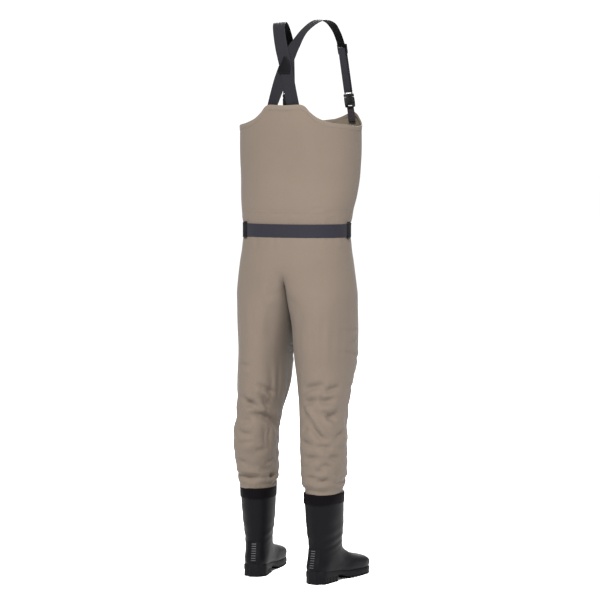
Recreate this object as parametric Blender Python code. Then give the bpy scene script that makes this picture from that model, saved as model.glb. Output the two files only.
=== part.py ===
"""Chest waders with bootfoot boots: one object per piece, metres, +Z up, wearer facing -Y."""

import bmesh
import bpy
from math import cos, pi, radians, sin
from mathutils import Matrix, Vector

# Driving dimensions
BODY_Y = 0.01414        # moves the body so the whole stands centred over the origin
WALL = 0.003            # cloth wall
SEAM = 0.0003           # half the gap left between neighbouring pieces
WEB = 0.0022            # webbing thickness
WEB_W = 0.038           # webbing width
Z_WAIST = 1.065
Z_BELT = 1.009
Z_HIP = 0.900
Z_CROTCH = 0.820
Z_LEG = 0.700
Z_KNEE_TOP = 0.600
Z_KNEE = 0.500
Z_KNEE_LOW = 0.400
Z_BOOT = 0.258
CUFF = 0.029
POCKET_X = 0.075
POCKET_LOW = 1.130
POCKET_TOP = 1.290
POCKET_Y = -0.165
ZIP_Z = 1.262
ZIP_REACH = 0.060
BUCKLE_W = 0.040
BUCKLE_T = 0.0095

# Sections of the torso: height, half width, half depth, centre in Y
TORSO = (
    (0.820, 0.1800, 0.132, 0.000),
    (0.851, 0.1765, 0.130, 0.000),
    (0.920, 0.1680, 0.125, 0.000),
    (0.965, 0.1610, 0.115, 0.000),
    (1.009, 0.1570, 0.108, 0.000),
    (1.065, 0.1655, 0.114, -0.005),
    (1.103, 0.1720, 0.118, -0.015),
    (1.171, 0.1770, 0.122, -0.028),
    (1.263, 0.1810, 0.125, -0.030),
    (1.380, 0.1810, 0.125, -0.030),
)
# Height of the top edge against the angle from the middle of the front
TOP_EDGE = (
    (0.0, 1.324), (16.0, 1.328), (24.0, 1.334), (33.0, 1.343), (43.0, 1.349), (51.0, 1.342),
    (59.0, 1.328), (72.0, 1.314), (85.0, 1.309), (98.0, 1.307), (115.0, 1.311), (131.0, 1.315),
    (144.0, 1.323), (150.0, 1.330), (157.0, 1.345), (163.0, 1.364), (167.0, 1.368), (180.0, 1.366),
)
# Leg sections: height, centre X, centre Y, half width, half depth
LEG = {
    "right": (
        (0.230, 0.1125, 0.069, 0.0500, 0.066), (0.260, 0.1125, 0.069, 0.0510, 0.069),
        (0.300, 0.1120, 0.070, 0.0595, 0.080), (0.417, 0.1080, 0.070, 0.0640, 0.087),
        (0.500, 0.1000, 0.045, 0.0660, 0.091), (0.565, 0.0955, 0.022, 0.0740, 0.104),
        (0.650, 0.0890, -0.001, 0.0845, 0.122), (0.800, 0.0885, -0.001, 0.0870, 0.132),
    ),
    "left": (
        (0.230, 0.1125, 0.021, 0.0500, 0.066), (0.260, 0.1125, 0.021, 0.0510, 0.069),
        (0.300, 0.1125, 0.024, 0.0560, 0.077), (0.417, 0.1085, 0.045, 0.0620, 0.085),
        (0.455, 0.1070, 0.037, 0.0600, 0.087), (0.500, 0.1040, 0.025, 0.0635, 0.090),
        (0.565, 0.0950, 0.013, 0.0700, 0.107), (0.650, 0.0940, 0.005, 0.0720, 0.118),
        (0.800, 0.0850, 0.000, 0.0830, 0.130),
    ),
}
SIDE = {"right": -1.0, "left": 1.0}
SPLAY = radians(10.0)
# Boot sections: front Y and Z, back Y and Z, half width
BOOT = (
    (-0.0680, 0.2580, 0.0680, 0.2580, 0.0510),
    (-0.0700, 0.2050, 0.0655, 0.2050, 0.0490),
    (-0.0730, 0.1550, 0.0615, 0.1500, 0.0445),
    (-0.0720, 0.1230, 0.0580, 0.1100, 0.0397),
    (-0.0760, 0.1020, 0.0615, 0.0800, 0.0380),
    (-0.0880, 0.0880, 0.0680, 0.0500, 0.0372),
    (-0.1050, 0.0770, 0.0520, 0.0300, 0.0370),
    (-0.1260, 0.0680, -0.0100, 0.0270, 0.0390),
    (-0.1490, 0.0620, -0.0800, 0.0175, 0.0455),
    (-0.1730, 0.0565, -0.1380, 0.0145, 0.0482),
    (-0.1920, 0.0490, -0.1760, 0.0150, 0.0435),
    (-0.2035, 0.0395, -0.1980, 0.0180, 0.0305),
    (-0.2062, 0.0340, -0.2040, 0.0220, 0.0185),
)
# Strap routes on the body: X, Y, Z and the direction across the webbing
ROUTE = {
    "right": (
        ((0.0540, 0.0780, 1.325), (1.0, -0.50, 0.33)), ((0.0480, 0.0795, 1.352), (1.0, -0.50, 0.33)),
        ((0.0310, 0.0820, 1.400), (1.0, -0.20, 0.35)), ((0.0155, 0.0838, 1.442), (1.0, 0.00, 0.37)),
        ((-0.0010, 0.0850, 1.482), (1.0, 0.00, 0.38)), ((-0.0120, 0.0846, 1.509), (1.0, 0.02, 0.42)),
        ((-0.0270, 0.0800, 1.537), (1.0, -0.45, 0.45)), ((-0.0510, 0.0660, 1.579), (1.0, -0.85, 0.30)),
        ((-0.0780, 0.0300, 1.608), (1.0, -0.50, 0.08)), ((-0.0930, -0.0200, 1.605), (1.0, -0.40, 0.08)),
        ((-0.1000, -0.0580, 1.579), (1.0, -0.55, 0.15)), ((-0.1030, -0.0860, 1.546), (1.0, -0.66, 0.10)),
    ),
    "left": (
        ((-0.0280, 0.0830, 1.325), (1.0, 0.08, -0.20)), ((-0.0250, 0.0840, 1.352), (1.0, 0.08, -0.20)),
        ((-0.0160, 0.0862, 1.400), (1.0, 0.03, -0.22)), ((0.0000, 0.0880, 1.482), (1.0, 0.00, -0.24)),
        ((0.0130, 0.0860, 1.534), (1.0, 0.00, -0.24)), ((0.0290, 0.0640, 1.579), (1.0, -0.12, -0.18)),
        ((0.0420, 0.0280, 1.603), (1.0, 0.00, -0.08)), ((0.0540, -0.0200, 1.600), (1.0, 0.10, -0.05)),
        ((0.0620, -0.0620, 1.578), (1.0, 0.20, 0.00)), ((0.0660, -0.0930, 1.546), (1.0, 0.33, 0.00)),
    ),
}
# Front line of each strap: ladder slider, buckle and the tab's lower end
GLIDE = {"right": (-0.1040, -0.0960, 1.530), "left": (0.0680, -0.1040, 1.530)}
BUCKLE = {"right": (-0.1195, -0.1090, 1.392), "left": (0.0755, -0.1290, 1.392)}
TAB_END = {"right": (-0.1262, -0.1158, 1.322), "left": (0.0775, -0.1345, 1.322)}
TAB_ACROSS = {"right": (1.0, -0.66, 0.0), "left": (1.0, 0.33, 0.0)}

COLOURS = {
    "fabric": ((0.337, 0.266, 0.216, 1.0), 0.0, 0.75),
    "seam": ((0.270, 0.215, 0.175, 1.0), 0.0, 0.80),
    "webbing": ((0.050, 0.048, 0.058, 1.0), 0.0, 0.70),
    "elastic": ((0.040, 0.038, 0.046, 1.0), 0.0, 0.75),
    "plastic": ((0.012, 0.012, 0.013, 1.0), 0.0, 0.40),
    "boot": ((0.022, 0.021, 0.025, 1.0), 0.0, 0.50),
    "sole": ((0.015, 0.015, 0.017, 1.0), 0.0, 0.65),
    "cuff": ((0.011, 0.010, 0.012, 1.0), 0.0, 0.80),
    "foam": ((0.060, 0.060, 0.065, 1.0), 0.0, 0.90),
    "steel": ((0.560, 0.560, 0.570, 1.0), 1.0, 0.30),
}


def clear():
    for obj in list(bpy.data.objects):
        bpy.data.objects.remove(obj)


def material(kind):
    found = bpy.data.materials.get(kind)
    if found:
        return found
    made = bpy.data.materials.new(kind)
    made.use_nodes = True
    shader = made.node_tree.nodes["Principled BSDF"]
    colour, metal, rough = COLOURS[kind]
    shader.inputs["Base Color"].default_value = colour
    shader.inputs["Metallic"].default_value = metal
    shader.inputs["Roughness"].default_value = rough
    return made


def add(name, kind, points, faces, smooth=True, place=None):
    """Makes one object from points and faces, its normals facing out."""
    mesh = bpy.data.meshes.new(name)
    mesh.from_pydata([tuple(p) for p in points], [], faces)
    work = bmesh.new()
    work.from_mesh(mesh)
    bmesh.ops.recalc_face_normals(work, faces=work.faces)
    work.to_mesh(mesh)
    work.free()
    for polygon in mesh.polygons:
        polygon.use_smooth = smooth
    mesh.materials.append(material(kind))
    obj = bpy.data.objects.new(name, mesh)
    bpy.context.scene.collection.objects.link(obj)
    obj.matrix_world = place if place else Matrix.Translation((0.0, BODY_Y, 0.0))
    return obj


def table(rows, at):
    """Smooth reading of a table whose first column rises."""
    last = len(rows) - 1
    if at <= rows[0][0]:
        return rows[0][1:]
    if at >= rows[last][0]:
        return rows[last][1:]
    i = 0
    while rows[i + 1][0] < at:
        i += 1
    x0, x1 = rows[i][0], rows[i + 1][0]
    f = (at - x0) / (x1 - x0)
    out = []
    for c in range(1, len(rows[0])):
        d0 = slope(rows, i, c) * (x1 - x0)
        d1 = slope(rows, i + 1, c) * (x1 - x0)
        v0, v1 = rows[i][c], rows[i + 1][c]
        a = (2 * f ** 3 - 3 * f ** 2 + 1) * v0 + (f ** 3 - 2 * f ** 2 + f) * d0
        out.append(a + (-2 * f ** 3 + 3 * f ** 2) * v1 + (f ** 3 - f ** 2) * d1)
    return out


def slope(rows, i, c):
    a = max(i - 1, 0)
    b = min(i + 1, len(rows) - 1)
    left = (rows[i][c] - rows[a][c]) / (rows[i][0] - rows[a][0]) if i > a else None
    right = (rows[b][c] - rows[i][c]) / (rows[b][0] - rows[i][0]) if b > i else None
    if left is None or right is None or left * right <= 0.0:
        return 0.0
    return 2.0 * left * right / (left + right)


def oval(t, a, b, power=2.2):
    """Point at angle t from the front, t rising towards +X."""
    e = 2.0 / power
    x = a * abs(sin(t)) ** e * (1 if sin(t) >= 0 else -1)
    y = -b * abs(cos(t)) ** e * (1 if cos(t) >= 0 else -1)
    return x, y


def torso(deg, z, inset=0.0):
    a, b, cy = table(TORSO, z)
    x, y = oval(radians(deg), a - inset, b - inset)
    return Vector((x, cy + y, z))


def top_edge(deg):
    return table(TOP_EDGE, abs((deg + 180.0) % 360.0 - 180.0))[0]


def leg(side, deg, z, inset=0.0):
    """Point on a leg: 0 is the front, 90 the outside, 180 the back."""
    cx, cy, a, b = table(LEG[side], z)
    x, y = oval(radians(deg), a - inset, b - inset, 2.1)
    return Vector((SIDE[side] * (cx + x), cy + y, z))


def ease(f):
    f = min(max(f, 0.0), 1.0)
    return f * f * (3.0 - 2.0 * f)


def shell(name, kind, outer, inner, closed=False, place=None):
    """A wall between two grids of points; closed joins the last column to the first."""
    rows, cols = len(outer), len(outer[0])
    points = [p for row in outer for p in row] + [p for row in inner for p in row]
    half = rows * cols
    faces = []
    for i in range(rows - 1):
        for j in range(cols if closed else cols - 1):
            k = (j + 1) % cols
            a, b, c, d = i * cols + j, i * cols + k, (i + 1) * cols + k, (i + 1) * cols + j
            faces.append((a, b, c, d))
            faces.append((half + d, half + c, half + b, half + a))
    for j in range(cols if closed else cols - 1):
        k = (j + 1) % cols
        faces.append((j, half + j, half + k, k))
        e = (rows - 1) * cols
        faces.append((e + j, e + k, half + e + k, half + e + j))
    if not closed:
        for i in range(rows - 1):
            a, b = i * cols, (i + 1) * cols
            faces.append((a, b, half + b, half + a))
            c, d = a + cols - 1, b + cols - 1
            faces.append((c, half + c, half + d, d))
    return add(name, kind, points, faces, True, place)


def spread(a, b, count):
    return [a + (b - a) * i / count for i in range(count + 1)]


def band(name, kind, degs, low, high, rows, out, thick, bulge=None, closed=False):
    """A strip of wall following the torso, from low(deg) to high(deg)."""
    grids = []
    for inset in (-out - thick, -out):
        grid = []
        for f in spread(0.0, 1.0, rows):
            lift = bulge(f) if bulge else 0.0
            line = []
            for deg in degs:
                z = low(deg) + (high(deg) - low(deg)) * f
                line.append(torso(deg, z, inset - lift))
            grid.append(line)
        grids.append(grid)
    return shell(name, kind, grids[0], grids[1], closed)


def torso_panels():
    gap = 0.15
    for part, a, b in (("front", -90.0 + gap, 90.0 - gap), ("back", 90.0 + gap, 270.0 - gap)):
        degs = spread(a, b, 16)
        upper = "front_bib" if part == "front" else "back_bib"
        band(upper, "fabric", degs, lambda d: Z_WAIST + SEAM, top_edge, 5, -WALL, WALL)
        band(part + "_waist_panel", "fabric", degs, lambda d: Z_HIP + SEAM,
             lambda d: Z_WAIST - SEAM, 4, -WALL, WALL)
    hem = [9.0 * i for i in range(40)]
    band("top_hem", "seam", hem, lambda d: top_edge(d) - 0.020,
         lambda d: top_edge(d) - 0.0005, 1, 0.0020, 0.0010, None, True)


def leg_columns():
    """Columns of a leg panel: kind of top, angle at the top, angle on the leg."""
    cols = []
    for f in spread(0.0, 1.0, 4):
        cols.append(("fork", 90.0 * (1.0 - f), -89.8 + 44.8 * f))
    for f in spread(0.0, 1.0, 8)[1:]:
        cols.append(("hip", 89.85 * f, -45.0 + 134.8 * f))
    return cols


def leg_point(side, front, col, f, inset):
    kind, top, deg = col
    s = SIDE[side]
    flip = 1.0 if front else -1.0
    ring = deg if front else 180.0 - deg
    if kind == "fork":
        g = radians(top)
        z_top = Z_CROTCH + (Z_HIP - Z_CROTCH) * cos(g) ** 2 - SEAM
    else:
        z_top = Z_HIP - SEAM
    z = z_top + (Z_KNEE_TOP + SEAM - z_top) * f
    blend = ease((z_top - z) / (z_top - Z_LEG))
    if kind == "fork":
        edge = torso(0.0 if front else 180.0, max(z, 0.82))
        depth = abs(edge.y)
        x = s * (SEAM + inset * sin(g))
        y = -flip * (depth * cos(g) - inset * cos(g) + (SEAM if top > 89.0 else 0.0))
        upper = Vector((x, y, z))
    else:
        t = top if front else 180.0 - top
        upper = torso(s * t, z, inset)
        upper.x = s * max(abs(upper.x), SEAM)
    lower = leg(side, ring, z, inset)
    point = upper.lerp(lower, blend)
    point.z = z
    return point


def leg_panels():
    for side in ("left", "right"):
        for front in (True, False):
            cols = leg_columns()
            grids = []
            for inset in (0.0, WALL):
                rows = spread(0.0, 1.0, 7)
                grids.append([[leg_point(side, front, c, f, inset) for c in cols] for f in rows])
            shell(f"{side}_leg_{'front' if front else 'back'}", "fabric", grids[0], grids[1])


def tube(name, kind, side, low, high, rows, out=0.0, thick=WALL, count=20):
    degs = [360.0 * i / count for i in range(count)]
    grids = []
    for inset in (-out, thick - out):
        grids.append([[leg(side, d, z, inset) for d in degs] for z in spread(low, high, rows)])
    return shell(name, kind, grids[0], grids[1], True)


def lower_legs():
    for side in ("left", "right"):
        tube(side + "_knee_section", "fabric", side, Z_KNEE_LOW + SEAM, Z_KNEE_TOP - SEAM, 6)
        tube(side + "_shin_fabric", "fabric", side, Z_BOOT + SEAM, Z_KNEE_LOW - SEAM, 5)


def foot_frame(side):
    cx, cy = table(LEG[side], 0.26)[:2]
    x = SIDE[side] * cx
    turn = Matrix.Rotation(SIDE[side] * SPLAY, 4, "Z")
    return Matrix.Translation((x, BODY_Y + cy, 0.0)) @ turn


def boot_ring(i, inset, count):
    fy, fz, by, bz, hw = BOOT[i]
    front, back = Vector((0.0, fy, fz)), Vector((0.0, by, bz))
    mid, reach = (front + back) / 2.0, (front - back) / 2.0
    long = reach.length
    along = reach / long
    power = 2.1 if i < 5 else 2.5
    e = 2.0 / power
    ring = []
    for k in range(count):
        t = 2.0 * pi * k / count
        c, s = cos(t), sin(t)
        c = abs(c) ** e * (1 if c >= 0 else -1)
        s = abs(s) ** e * (1 if s >= 0 else -1)
        ring.append(mid + along * (c * (long - inset)) + Vector((s * (hw - inset), 0.0, 0.0)))
    return ring


def boot_upper(side):
    """Hollow shaft and foot, closed at the toe."""
    count = 18
    wall = 0.003
    outer = [boot_ring(i, 0.0, count) for i in range(len(BOOT))]
    inner = [boot_ring(i, wall, count) for i in range(len(BOOT) - 2)]
    points = [p for ring in outer + inner for p in ring]
    tip = len(points)
    points.append(Vector((0.0, BOOT[-1][0] - 0.0005, 0.029)))
    points.append(Vector((0.0, BOOT[-3][0] - 0.001, 0.033)))
    faces = []
    split = len(outer)
    for i in range(split - 1):
        for k in range(count):
            n = (k + 1) % count
            faces.append((i * count + k, i * count + n, (i + 1) * count + n, (i + 1) * count + k))
    for i in range(split, split + len(inner) - 1):
        for k in range(count):
            n = (k + 1) % count
            faces.append((i * count + n, i * count + k, (i + 1) * count + k, (i + 1) * count + n))
    for k in range(count):
        n = (k + 1) % count
        faces.append((n, k, split * count + k, split * count + n))
        e = (split - 1) * count
        faces.append((e + k, e + n, tip))
        e = (split + len(inner) - 1) * count
        faces.append((e + n, e + k, tip + 1))
    add(side + "_boot_upper", "boot", points, faces, True, foot_frame(side))


def sole_width(y):
    rows = ((-0.2065, 0.012), (-0.2005, 0.029), (-0.187, 0.0415), (-0.160, 0.0485),
            (-0.135, 0.0490), (-0.090, 0.0440), (-0.040, 0.0365), (0.010, 0.0350),
            (0.040, 0.0340), (0.055, 0.0265), (0.0635, 0.0120))
    return table(rows, y)[0]


def sole_top(y):
    rows = ((-0.2065, 0.0150), (-0.170, 0.0115), (-0.130, 0.0115), (-0.080, 0.0140),
            (-0.020, 0.0230), (0.020, 0.0270), (0.0635, 0.0275))
    return table(rows, y)[0]


def sole_low(y):
    """Underside: raised for the tread in front, then the shank, then the heel block."""
    if y < -0.075:
        return 0.0055
    if y < -0.0195:
        return 0.0055 + 0.0110 * ease((y + 0.085) / 0.055)
    return 0.0


def slab(name, kind, ys, width, low, high, place, smooth=False):
    """A block lofted along Y between two heights."""
    points = []
    for y in ys:
        w = width(y)
        points += [Vector((-w, y, low(y))), Vector((w, y, low(y)))]
        points += [Vector((w, y, high(y))), Vector((-w, y, high(y)))]
    faces = [(3, 2, 1, 0)]
    for i in range(len(ys) - 1):
        a, b = 4 * i, 4 * i + 4
        for k in range(4):
            n = (k + 1) % 4
            faces.append((a + k, a + n, b + n, b + k))
    e = 4 * (len(ys) - 1)
    faces.append((e, e + 1, e + 2, e + 3))
    return add(name, kind, points, faces, smooth, place)


def boxes(name, kind, items, place, smooth=False):
    """Several separate boxes in one object: each is low corner, high corner."""
    points, faces = [], []
    for low, high in items:
        n = len(points)
        for z in (low[2], high[2]):
            points += [(low[0], low[1], z), (high[0], low[1], z)]
            points += [(high[0], high[1], z), (low[0], high[1], z)]
        faces += [(n + 3, n + 2, n + 1, n), (n + 4, n + 5, n + 6, n + 7)]
        for k in range(4):
            m = (k + 1) % 4
            faces.append((n + k, n + m, n + 4 + m, n + 4 + k))
    return add(name, kind, points, faces, smooth, place)


def boot_bottom(side):
    place = foot_frame(side)
    ys = [-0.2065, -0.204, -0.198, -0.188, -0.170, -0.145, -0.115, -0.0800, -0.060, -0.040,
          -0.022, -0.019, 0.010, 0.035, 0.048, 0.057, 0.0635]
    slab(side + "_outsole", "sole", ys, sole_width, sole_low, lambda y: sole_top(y) - 0.0006, place)
    lugs = [-0.199]
    for i in range(7):
        y = -0.197 + 0.0165 * i
        lugs += [y, y + 0.0005, y + 0.0100, y + 0.0105]
    slab(side + "_tread_lugs", "sole", lugs, lambda y: sole_width(y) - 0.004,
         lambda y: 0.0 if 0.0004 < (y + 0.197) % 0.0165 < 0.0101 else 0.0038, lambda y: 0.0052, place)
    slab(side + "_insole", "foam", [-0.170, -0.150, -0.120, -0.085, -0.050, -0.015, 0.020, 0.040],
         lambda y: 0.56 * sole_width(y), lambda y: sole_top(y) + 0.0125,
         lambda y: sole_top(y) + 0.0160, place)


def boot_bands(side):
    place = foot_frame(side)
    count = 24
    grids = []
    for grow in (-0.0034, -0.0010):
        rows = []
        for z in (Z_BOOT - CUFF + 0.004, Z_BOOT - 0.012, Z_BOOT - 0.0003):
            f = (Z_BOOT - z) / (0.258 - 0.205)
            hw = 0.0510 - 0.002 * f - grow
            hd = 0.0680 + 0.001 * f - grow
            ring = []
            for k in range(count):
                x, y = oval(2.0 * pi * k / count, hw, hd, 2.1)
                ring.append(Vector((x, y, z)))
            rows.append(ring)
        grids.append(rows)
    shell(side + "_cuff_band", "cuff", grids[0], grids[1], True, place)
    heel_ribs(side, place)


def heel_back(z):
    """Y of the boot's rearmost line at a height."""
    rows = sorted((row[3], row[2]) for row in BOOT[:6])
    return table(rows, z)[0]


def heel_ribs(side, place):
    """Ribbed pad up the back of the heel."""
    zs, lifts = [0.0465], [0.0010]
    for i in range(6):
        z = 0.049 + 0.0090 * i
        zs += [z, z + 0.0008, z + 0.0038, z + 0.0046]
        lifts += [0.0010, 0.0024, 0.0024, 0.0010]
    grids = []
    for outside in (True, False):
        rows = []
        for z, lift in zip(zs, lifts):
            grow = 0.0006 + (lift if outside else 0.0)
            back = heel_back(z)
            line = []
            for deg in spread(-32.0, 32.0, 4):
                t = radians(deg)
                line.append(Vector((sin(t) * (0.0360 + grow), back - 0.036 + cos(t) * (0.0360 + grow), z)))
            rows.append(line)
        grids.append(rows)
    shell(side + "_heel_ribs", "boot", grids[0], grids[1], False, place)


def curve_at(route, f):
    """Point and width direction at a fraction of a route, smooth through its knots."""
    last = len(route) - 1
    at = min(max(f * last, 0.0), last - 1e-6)
    i = int(at)
    u = at - i
    out = []
    for c in (0, 1):
        p = [Vector(route[min(max(i + k, 0), last)][c]) for k in (-1, 0, 1, 2)]
        a = (p[1] * 2.0) + (p[2] - p[0]) * u
        b = (p[0] * 2.0 - p[1] * 5.0 + p[2] * 4.0 - p[3]) * (u * u)
        d = (p[1] * 3.0 - p[0] - p[2] * 3.0 + p[3]) * (u * u * u)
        out.append((a + b + d) * 0.5)
    return out


def ribbon(name, kind, route, count, width=WEB_W, thick=WEB, place=None):
    """Webbing swept along a route of points with the direction across it."""
    frames = [curve_at(route, f) for f in spread(0.0, 1.0, count)]
    points, faces = [], []
    for i, (p, across) in enumerate(frames):
        a = frames[max(i - 1, 0)][0]
        b = frames[min(i + 1, count)][0]
        along = (b - a).normalized()
        side = (across - along * across.dot(along)).normalized()
        up = along.cross(side).normalized()
        for sx, sy in ((-1, -1), (1, -1), (1, 1), (-1, 1)):
            points.append(p + side * (sx * width / 2.0) + up * (sy * thick / 2.0))
    faces.append((3, 2, 1, 0))
    for i in range(count):
        a, b = 4 * i, 4 * i + 4
        for k in range(4):
            n = (k + 1) % 4
            faces.append((a + k, a + n, b + n, b + k))
    e = 4 * count
    faces.append((e, e + 1, e + 2, e + 3))
    return add(name, kind, points, faces, False, place)


def loop(name, kind, low, high, width, gap, thick, place):
    """Webbing folded round two bars: a flat ring in the local YZ plane."""
    ring = []
    for centre, start in ((high, 0.0), (low, pi)):
        for k in range(7):
            t = start + pi * k / 6.0
            ring.append((centre, cos(t), sin(t)))
    grids = []
    for r in (gap / 2.0 + thick, gap / 2.0):
        rows = []
        for x in (-width / 2.0, width / 2.0):
            rows.append([Vector((x, r * c, z + r * s)) for z, c, s in ring])
        grids.append(rows)
    return shell(name, kind, grids[0], grids[1], True, place)


def strap_frame(side):
    """Local frame of a front strap: origin at the buckle, Z along the strap, -Y outwards."""
    low = Vector(BUCKLE[side])
    high = Vector(GLIDE[side])
    up = (high - low).normalized()
    across = Vector(TAB_ACROSS[side])
    across = (across - up * across.dot(up)).normalized()
    out = up.cross(across)
    turn = Matrix((across, out, up)).transposed().to_4x4()
    return Matrix.Translation(low + Vector((0.0, BODY_Y, 0.0))) @ turn


def belt_frame():
    """Local frame of the belt buckle: Z points to the wearer's left along the belt."""
    front = torso(0.0, Z_BELT).y
    turn = Matrix(((0.0, 0.0, 1.0), (0.0, 1.0, 0.0), (-1.0, 0.0, 0.0))).to_4x4()
    return Matrix.Translation((0.0, BODY_Y + front - 0.0115, Z_BELT)) @ turn


def cut(target, name, low, high):
    tool = boxes(name, "plastic", [(low, high)], target.matrix_world.copy())
    tool.hide_render = True
    tool.display_type = "WIRE"
    hole = target.modifiers.new(name, "BOOLEAN")
    hole.operation = "DIFFERENCE"
    hole.solver = "EXACT"
    hole.object = tool


def buckle(label, place):
    """Side-release buckle: female body below, male half with two prongs above."""
    w, t = BUCKLE_W / 2.0, BUCKLE_T / 2.0
    body = boxes(label + "_buckle_female", "plastic", [((-w, -t, -0.030), (w, t, 0.0))], place)
    cut(body, label + "_cut_socket", (-w + 0.0022, -t + 0.0018, -0.0215), (w - 0.0022, t - 0.0018, 0.01))
    cut(body, label + "_cut_windows", (-w - 0.01, -t + 0.0018, -0.019), (w + 0.01, t - 0.0018, -0.0085))
    cut(body, label + "_cut_bar", (-w + 0.003, -0.02, -0.0270), (w - 0.003, 0.02, -0.0240))
    male = boxes(label + "_buckle_male", "plastic", [((-w, -t, 0.0006), (w, t, 0.0265))], place)
    cut(male, label + "_cut_front", (-w - 0.01, -0.02, 0.0085), (w + 0.01, -0.0016, 0.04))
    cut(male, label + "_cut_rear", (-w - 0.01, 0.0016, 0.0085), (w + 0.01, 0.02, 0.04))
    cut(male, label + "_cut_slot", (-w + 0.003, -0.02, 0.0100), (w - 0.003, 0.02, 0.0155))
    cut(male, label + "_cut_slot_two", (-w + 0.003, -0.02, 0.0187), (w - 0.003, 0.02, 0.0235))
    tongue = boxes(label + "_tongue", "plastic", [((-0.004, -0.0022, -0.0195), (0.004, 0.0022, 0.0040))],
                   place)
    tongue.hide_render = True
    tongue.display_type = "WIRE"
    join = male.modifiers.new("tongue", "BOOLEAN")
    join.operation = "UNION"
    join.solver = "EXACT"
    join.object = tongue
    for sx, which in ((-1.0, "a"), (1.0, "b")):
        prong(label + "_buckle_prong_" + which, sx, w, place)
    return body


def prong(name, sx, w, place):
    """Spring arm: its root is at the origin of its own frame, its head sits in the window."""
    outline = ((0.0095, 0.0002), (0.0130, 0.0002), (0.0145, -0.0075), (0.0192, -0.0090),
               (0.0192, -0.0125), (0.0150, -0.0195), (0.0118, -0.0195), (0.0112, -0.0080))
    shift = 0.0112
    points, faces = [], []
    for y in (-0.0024, 0.0024):
        points += [Vector((sx * (x - shift), y, z)) for x, z in outline]
    n = len(outline)
    faces.append(tuple(range(n)))
    faces.append(tuple(range(2 * n - 1, n - 1, -1)))
    for k in range(n):
        m = (k + 1) % n
        faces.append((k, n + k, n + m, m))
    return add(name, "plastic", points, faces, False, place @ Matrix.Translation((sx * shift, 0.0, 0.0)))


def ladder(name, place):
    """Slider frame with a middle bar."""
    w = BUCKLE_W / 2.0 + 0.003
    body = boxes(name, "plastic", [((-w, -0.0016, -0.014), (w, 0.0016, 0.014))], place)
    x = w - 0.003
    cut(body, name + "_cut_low", (-x, -0.02, -0.0105), (x, 0.02, -0.0022))
    cut(body, name + "_cut_high", (-x, -0.02, 0.0022), (x, 0.02, 0.0105))
    return body


def straps():
    for side in ("left", "right"):
        ribbon(side + "_shoulder_strap", "elastic", ROUTE[side], 30)
        place = strap_frame(side)
        reach = (Vector(GLIDE[side]) - Vector(BUCKLE[side])).length
        buckle(side + "_strap", place)
        loop(side + "_strap_loop", "webbing", 0.0171, reach + 0.0012, WEB_W - 0.005, 0.0050, 0.0018, place)
        ladder(side + "_ladder_slider", place @ Matrix.Translation((0.0, 0.0, reach)))
        strap_tab(side, place)


def strap_tab(side, place):
    """Tab of webbing sewn on the front bib, folded round the bar of the female half."""
    up = place.to_3x3() @ Vector((0.0, 0.0, 1.0))
    bar = place @ Vector((0.0, 0.0, -0.0325)) - Vector((0.0, BODY_Y, 0.0))
    end = Vector(TAB_END[side])
    lead = bar - up * 0.008
    route = (
        (bar, TAB_ACROSS[side]),
        (lead, TAB_ACROSS[side]),
        (lead.lerp(end, 0.5), TAB_ACROSS[side]),
        (end, TAB_ACROSS[side]),
    )
    ribbon(side + "_strap_tab", "webbing", route, 6, WEB_W - 0.004, 0.0020)


def patch(name, y):
    outline = ((-0.026, -0.024), (0.026, -0.024), (0.021, -0.002), (0.006, 0.026), (-0.006, 0.026),
               (-0.021, -0.002))
    points, faces = [], []
    for dy in (0.0, 0.0016):
        points += [Vector((x, y + dy, 1.480 + z)) for x, z in outline]
    n = len(outline)
    faces.append(tuple(range(n)))
    faces.append(tuple(range(2 * n - 1, n - 1, -1)))
    for k in range(n):
        m = (k + 1) % n
        faces.append((k, n + k, n + m, m))
    return add(name, "plastic", points, faces, False)


def crossover():
    patch("crossover_patch_outer", 0.0896)
    patch("crossover_patch_inner", 0.0800)


def belt():
    half = WEB_W / 2.0
    low, high = (lambda d: Z_BELT - half), (lambda d: Z_BELT + half)
    band("belt_webbing", "webbing", spread(17.0, 355.0, 48), low, high, 2, 0.0023, 0.0020)
    place = belt_frame()
    buckle("belt", place)
    for name, at in (("left_belt_loop", 126.0), ("right_belt_loop", -90.0)):
        band(name, "webbing", spread(at - 5.0, at + 5.0, 4), lambda d: Z_BELT - 0.027,
             lambda d: Z_BELT + 0.027, 6, 0.0014, 0.0014,
             lambda f: 0.0036 * ease((0.5 - abs(f - 0.5)) / 0.13))
    band("belt_tail", "webbing", spread(23.0, 62.0, 8), low, high, 2, 0.0047, 0.0018)
    band("belt_keeper", "plastic", spread(40.0, 44.0, 2), lambda d: Z_BELT - half - 0.002,
         lambda d: Z_BELT + half + 0.002, 2, 0.0070, 0.0018)
    boxes("belt_end", "webbing", [((-0.0165, 0.0005, 0.0270), (0.0165, 0.0027, 0.0480))], place)


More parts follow.
